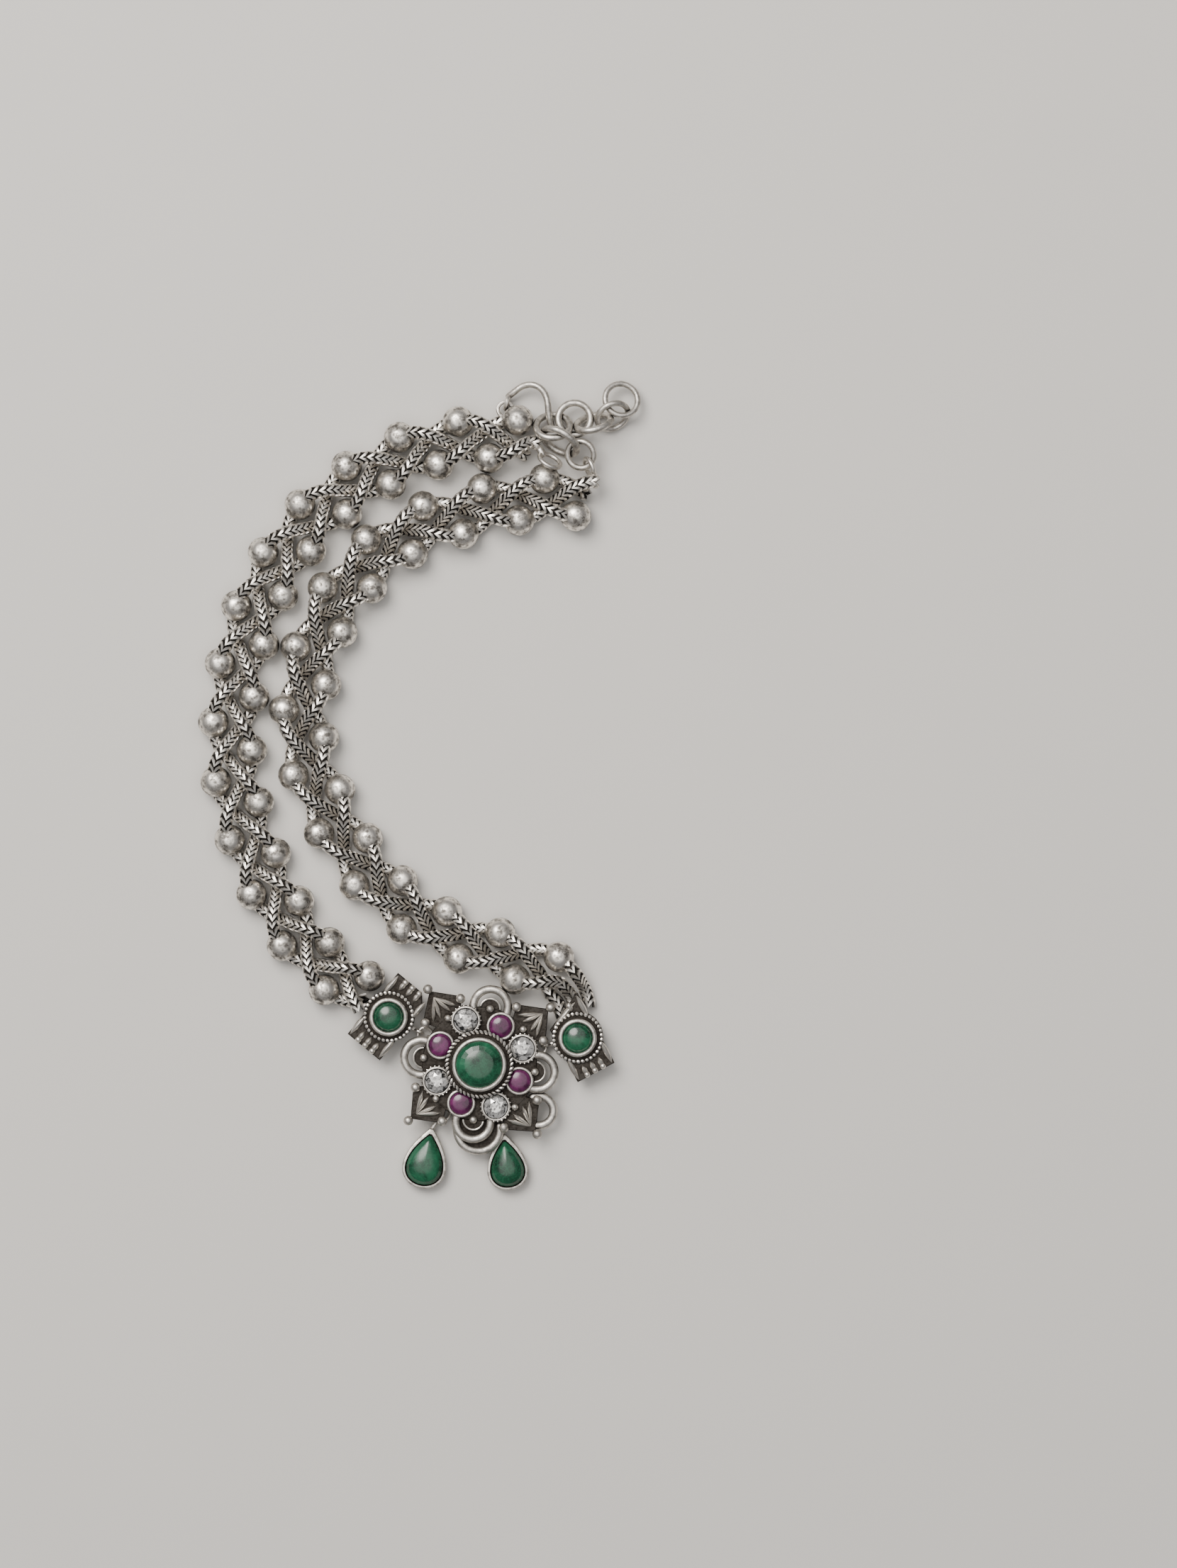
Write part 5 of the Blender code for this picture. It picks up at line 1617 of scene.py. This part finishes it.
def make_floor():
    mesh = bpy.data.meshes.new("floor")
    corners = [(x * FLOOR_HALF, y * FLOOR_HALF, 0) for x, y in ((-1, -1), (1, -1), (1, 1), (-1, 1))]
    mesh.from_pydata(corners, [], [(0, 1, 2, 3)])
    mesh.materials.append(floor_material())
    floor = bpy.data.objects.new("floor", mesh)
    bpy.context.scene.collection.objects.link(floor)
    floor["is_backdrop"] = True


def make_camera():
    data = bpy.data.cameras.new("camera")
    data.sensor_width = SENSOR
    data.lens = SENSOR * CAMERA_DISTANCE / VIEW_HEIGHT
    data.clip_start = 0.01
    camera = bpy.data.objects.new("camera", data)
    bpy.context.scene.collection.objects.link(camera)
    camera.location = (*VIEW_CENTRE, VIEW_PLANE_Z + CAMERA_DISTANCE)
    bpy.context.scene.camera = camera


def make_world():
    world = bpy.data.worlds.new("studio")
    world.use_nodes = True
    sky = world.node_tree.nodes["Background"]
    fill(sky, color=(*SKY_COLOUR, 1), strength=SKY_STRENGTH)
    bpy.context.scene.world = world


def make_stage():
    make_floor()
    make_camera()
    make_world()
    for name, light in LIGHTS.items():
        area_light(name, **light)


# Operators and panel


class ANKLET_OT_arms(bpy.types.Operator):
    """Lays foxtail chain along the plaited strands and threads the balls"""

    bl_idname = "anklet.arms"
    bl_label = "Plaited arms"

    def execute(self, context):
        make_arms()
        return {"FINISHED"}


class ANKLET_OT_medallion(bpy.types.Operator):
    """Builds the flower medallion's plate, leaves, crescents, beads, rope and bezels"""

    bl_idname = "anklet.medallion"
    bl_label = "Flower medallion"

    def execute(self, context):
        make_medallion()
        return {"FINISHED"}


class ANKLET_OT_stones(bpy.types.Operator):
    """Sets the medallion's green, purple and white stones"""

    bl_idname = "anklet.stones"
    bl_label = "Medallion stones"

    def execute(self, context):
        make_medallion_stones()
        return {"FINISHED"}


class ANKLET_OT_boxes(bpy.types.Operator):
    """Builds the two side boxes with their ropes, ridges and green stones"""

    bl_idname = "anklet.boxes"
    bl_label = "Side boxes"

    def execute(self, context):
        for number, box in enumerate(SIDE_BOXES, 20):
            make_box(box, number)
        return {"FINISHED"}


class ANKLET_OT_drops(bpy.types.Operator):
    """Builds the two pear drops and the jump rings below the medallion"""

    bl_idname = "anklet.drops"
    bl_label = "Pear drops and links"

    def execute(self, context):
        for drop in DROPS:
            make_drop(drop)
        make_links()
        return {"FINISHED"}


class ANKLET_OT_clasp(bpy.types.Operator):
    """Builds the hook, the clasp rings and the extension rings"""

    bl_idname = "anklet.clasp"
    bl_label = "Clasp"

    def execute(self, context):
        make_clasp()
        return {"FINISHED"}


class ANKLET_OT_stage(bpy.types.Operator):
    """Sets the floor, the camera and the soft studio light"""

    bl_idname = "anklet.stage"
    bl_label = "Stage"

    def execute(self, context):
        make_stage()
        return {"FINISHED"}


class ANKLET_PT_panel(bpy.types.Panel):
    """The anklet's pieces in the sidebar"""

    bl_idname = "ANKLET_PT_panel"
    bl_label = "Payal anklet"
    bl_space_type = "VIEW_3D"
    bl_region_type = "UI"
    bl_category = "Anklet"

    def draw(self, context):
        layout = self.layout
        for group in (context.scene.anklet_sizes, context.scene.anklet_colours):
            for name in group.__annotations__:
                layout.prop(group, name)
        for operator in OPERATORS:
            layout.operator(operator.bl_idname)


OPERATORS = (
    ANKLET_OT_stage, ANKLET_OT_arms, ANKLET_OT_medallion, ANKLET_OT_stones, ANKLET_OT_boxes, ANKLET_OT_drops,
    ANKLET_OT_clasp,
)
CLASSES = (AnkletSizes, AnkletColours, *OPERATORS, ANKLET_PT_panel)


def register():
    for kind in CLASSES:
        bpy.utils.register_class(kind)
    bpy.types.Scene.anklet_sizes = PointerProperty(type=AnkletSizes)
    bpy.types.Scene.anklet_colours = PointerProperty(type=AnkletColours)


def unregister():
    del bpy.types.Scene.anklet_colours
    del bpy.types.Scene.anklet_sizes
    for kind in reversed(CLASSES):
        bpy.utils.unregister_class(kind)


def write_sizes():
    """The box of the solids and the box of the dressed anklet, gathered into a table that is not kept."""
    corners = {"cad": CAD_BOX, "visual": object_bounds()}
    {name: [list(low), list(high)] for name, (low, high) in corners.items()}


def main():
    register()
    bpy.ops.anklet.stage()
    bpy.ops.anklet.arms()
    bpy.ops.anklet.medallion()
    bpy.ops.anklet.stones()
    bpy.ops.anklet.boxes()
    bpy.ops.anklet.drops()
    bpy.ops.anklet.clasp()
    write_sizes()


if __name__ == "__main__":
    main()
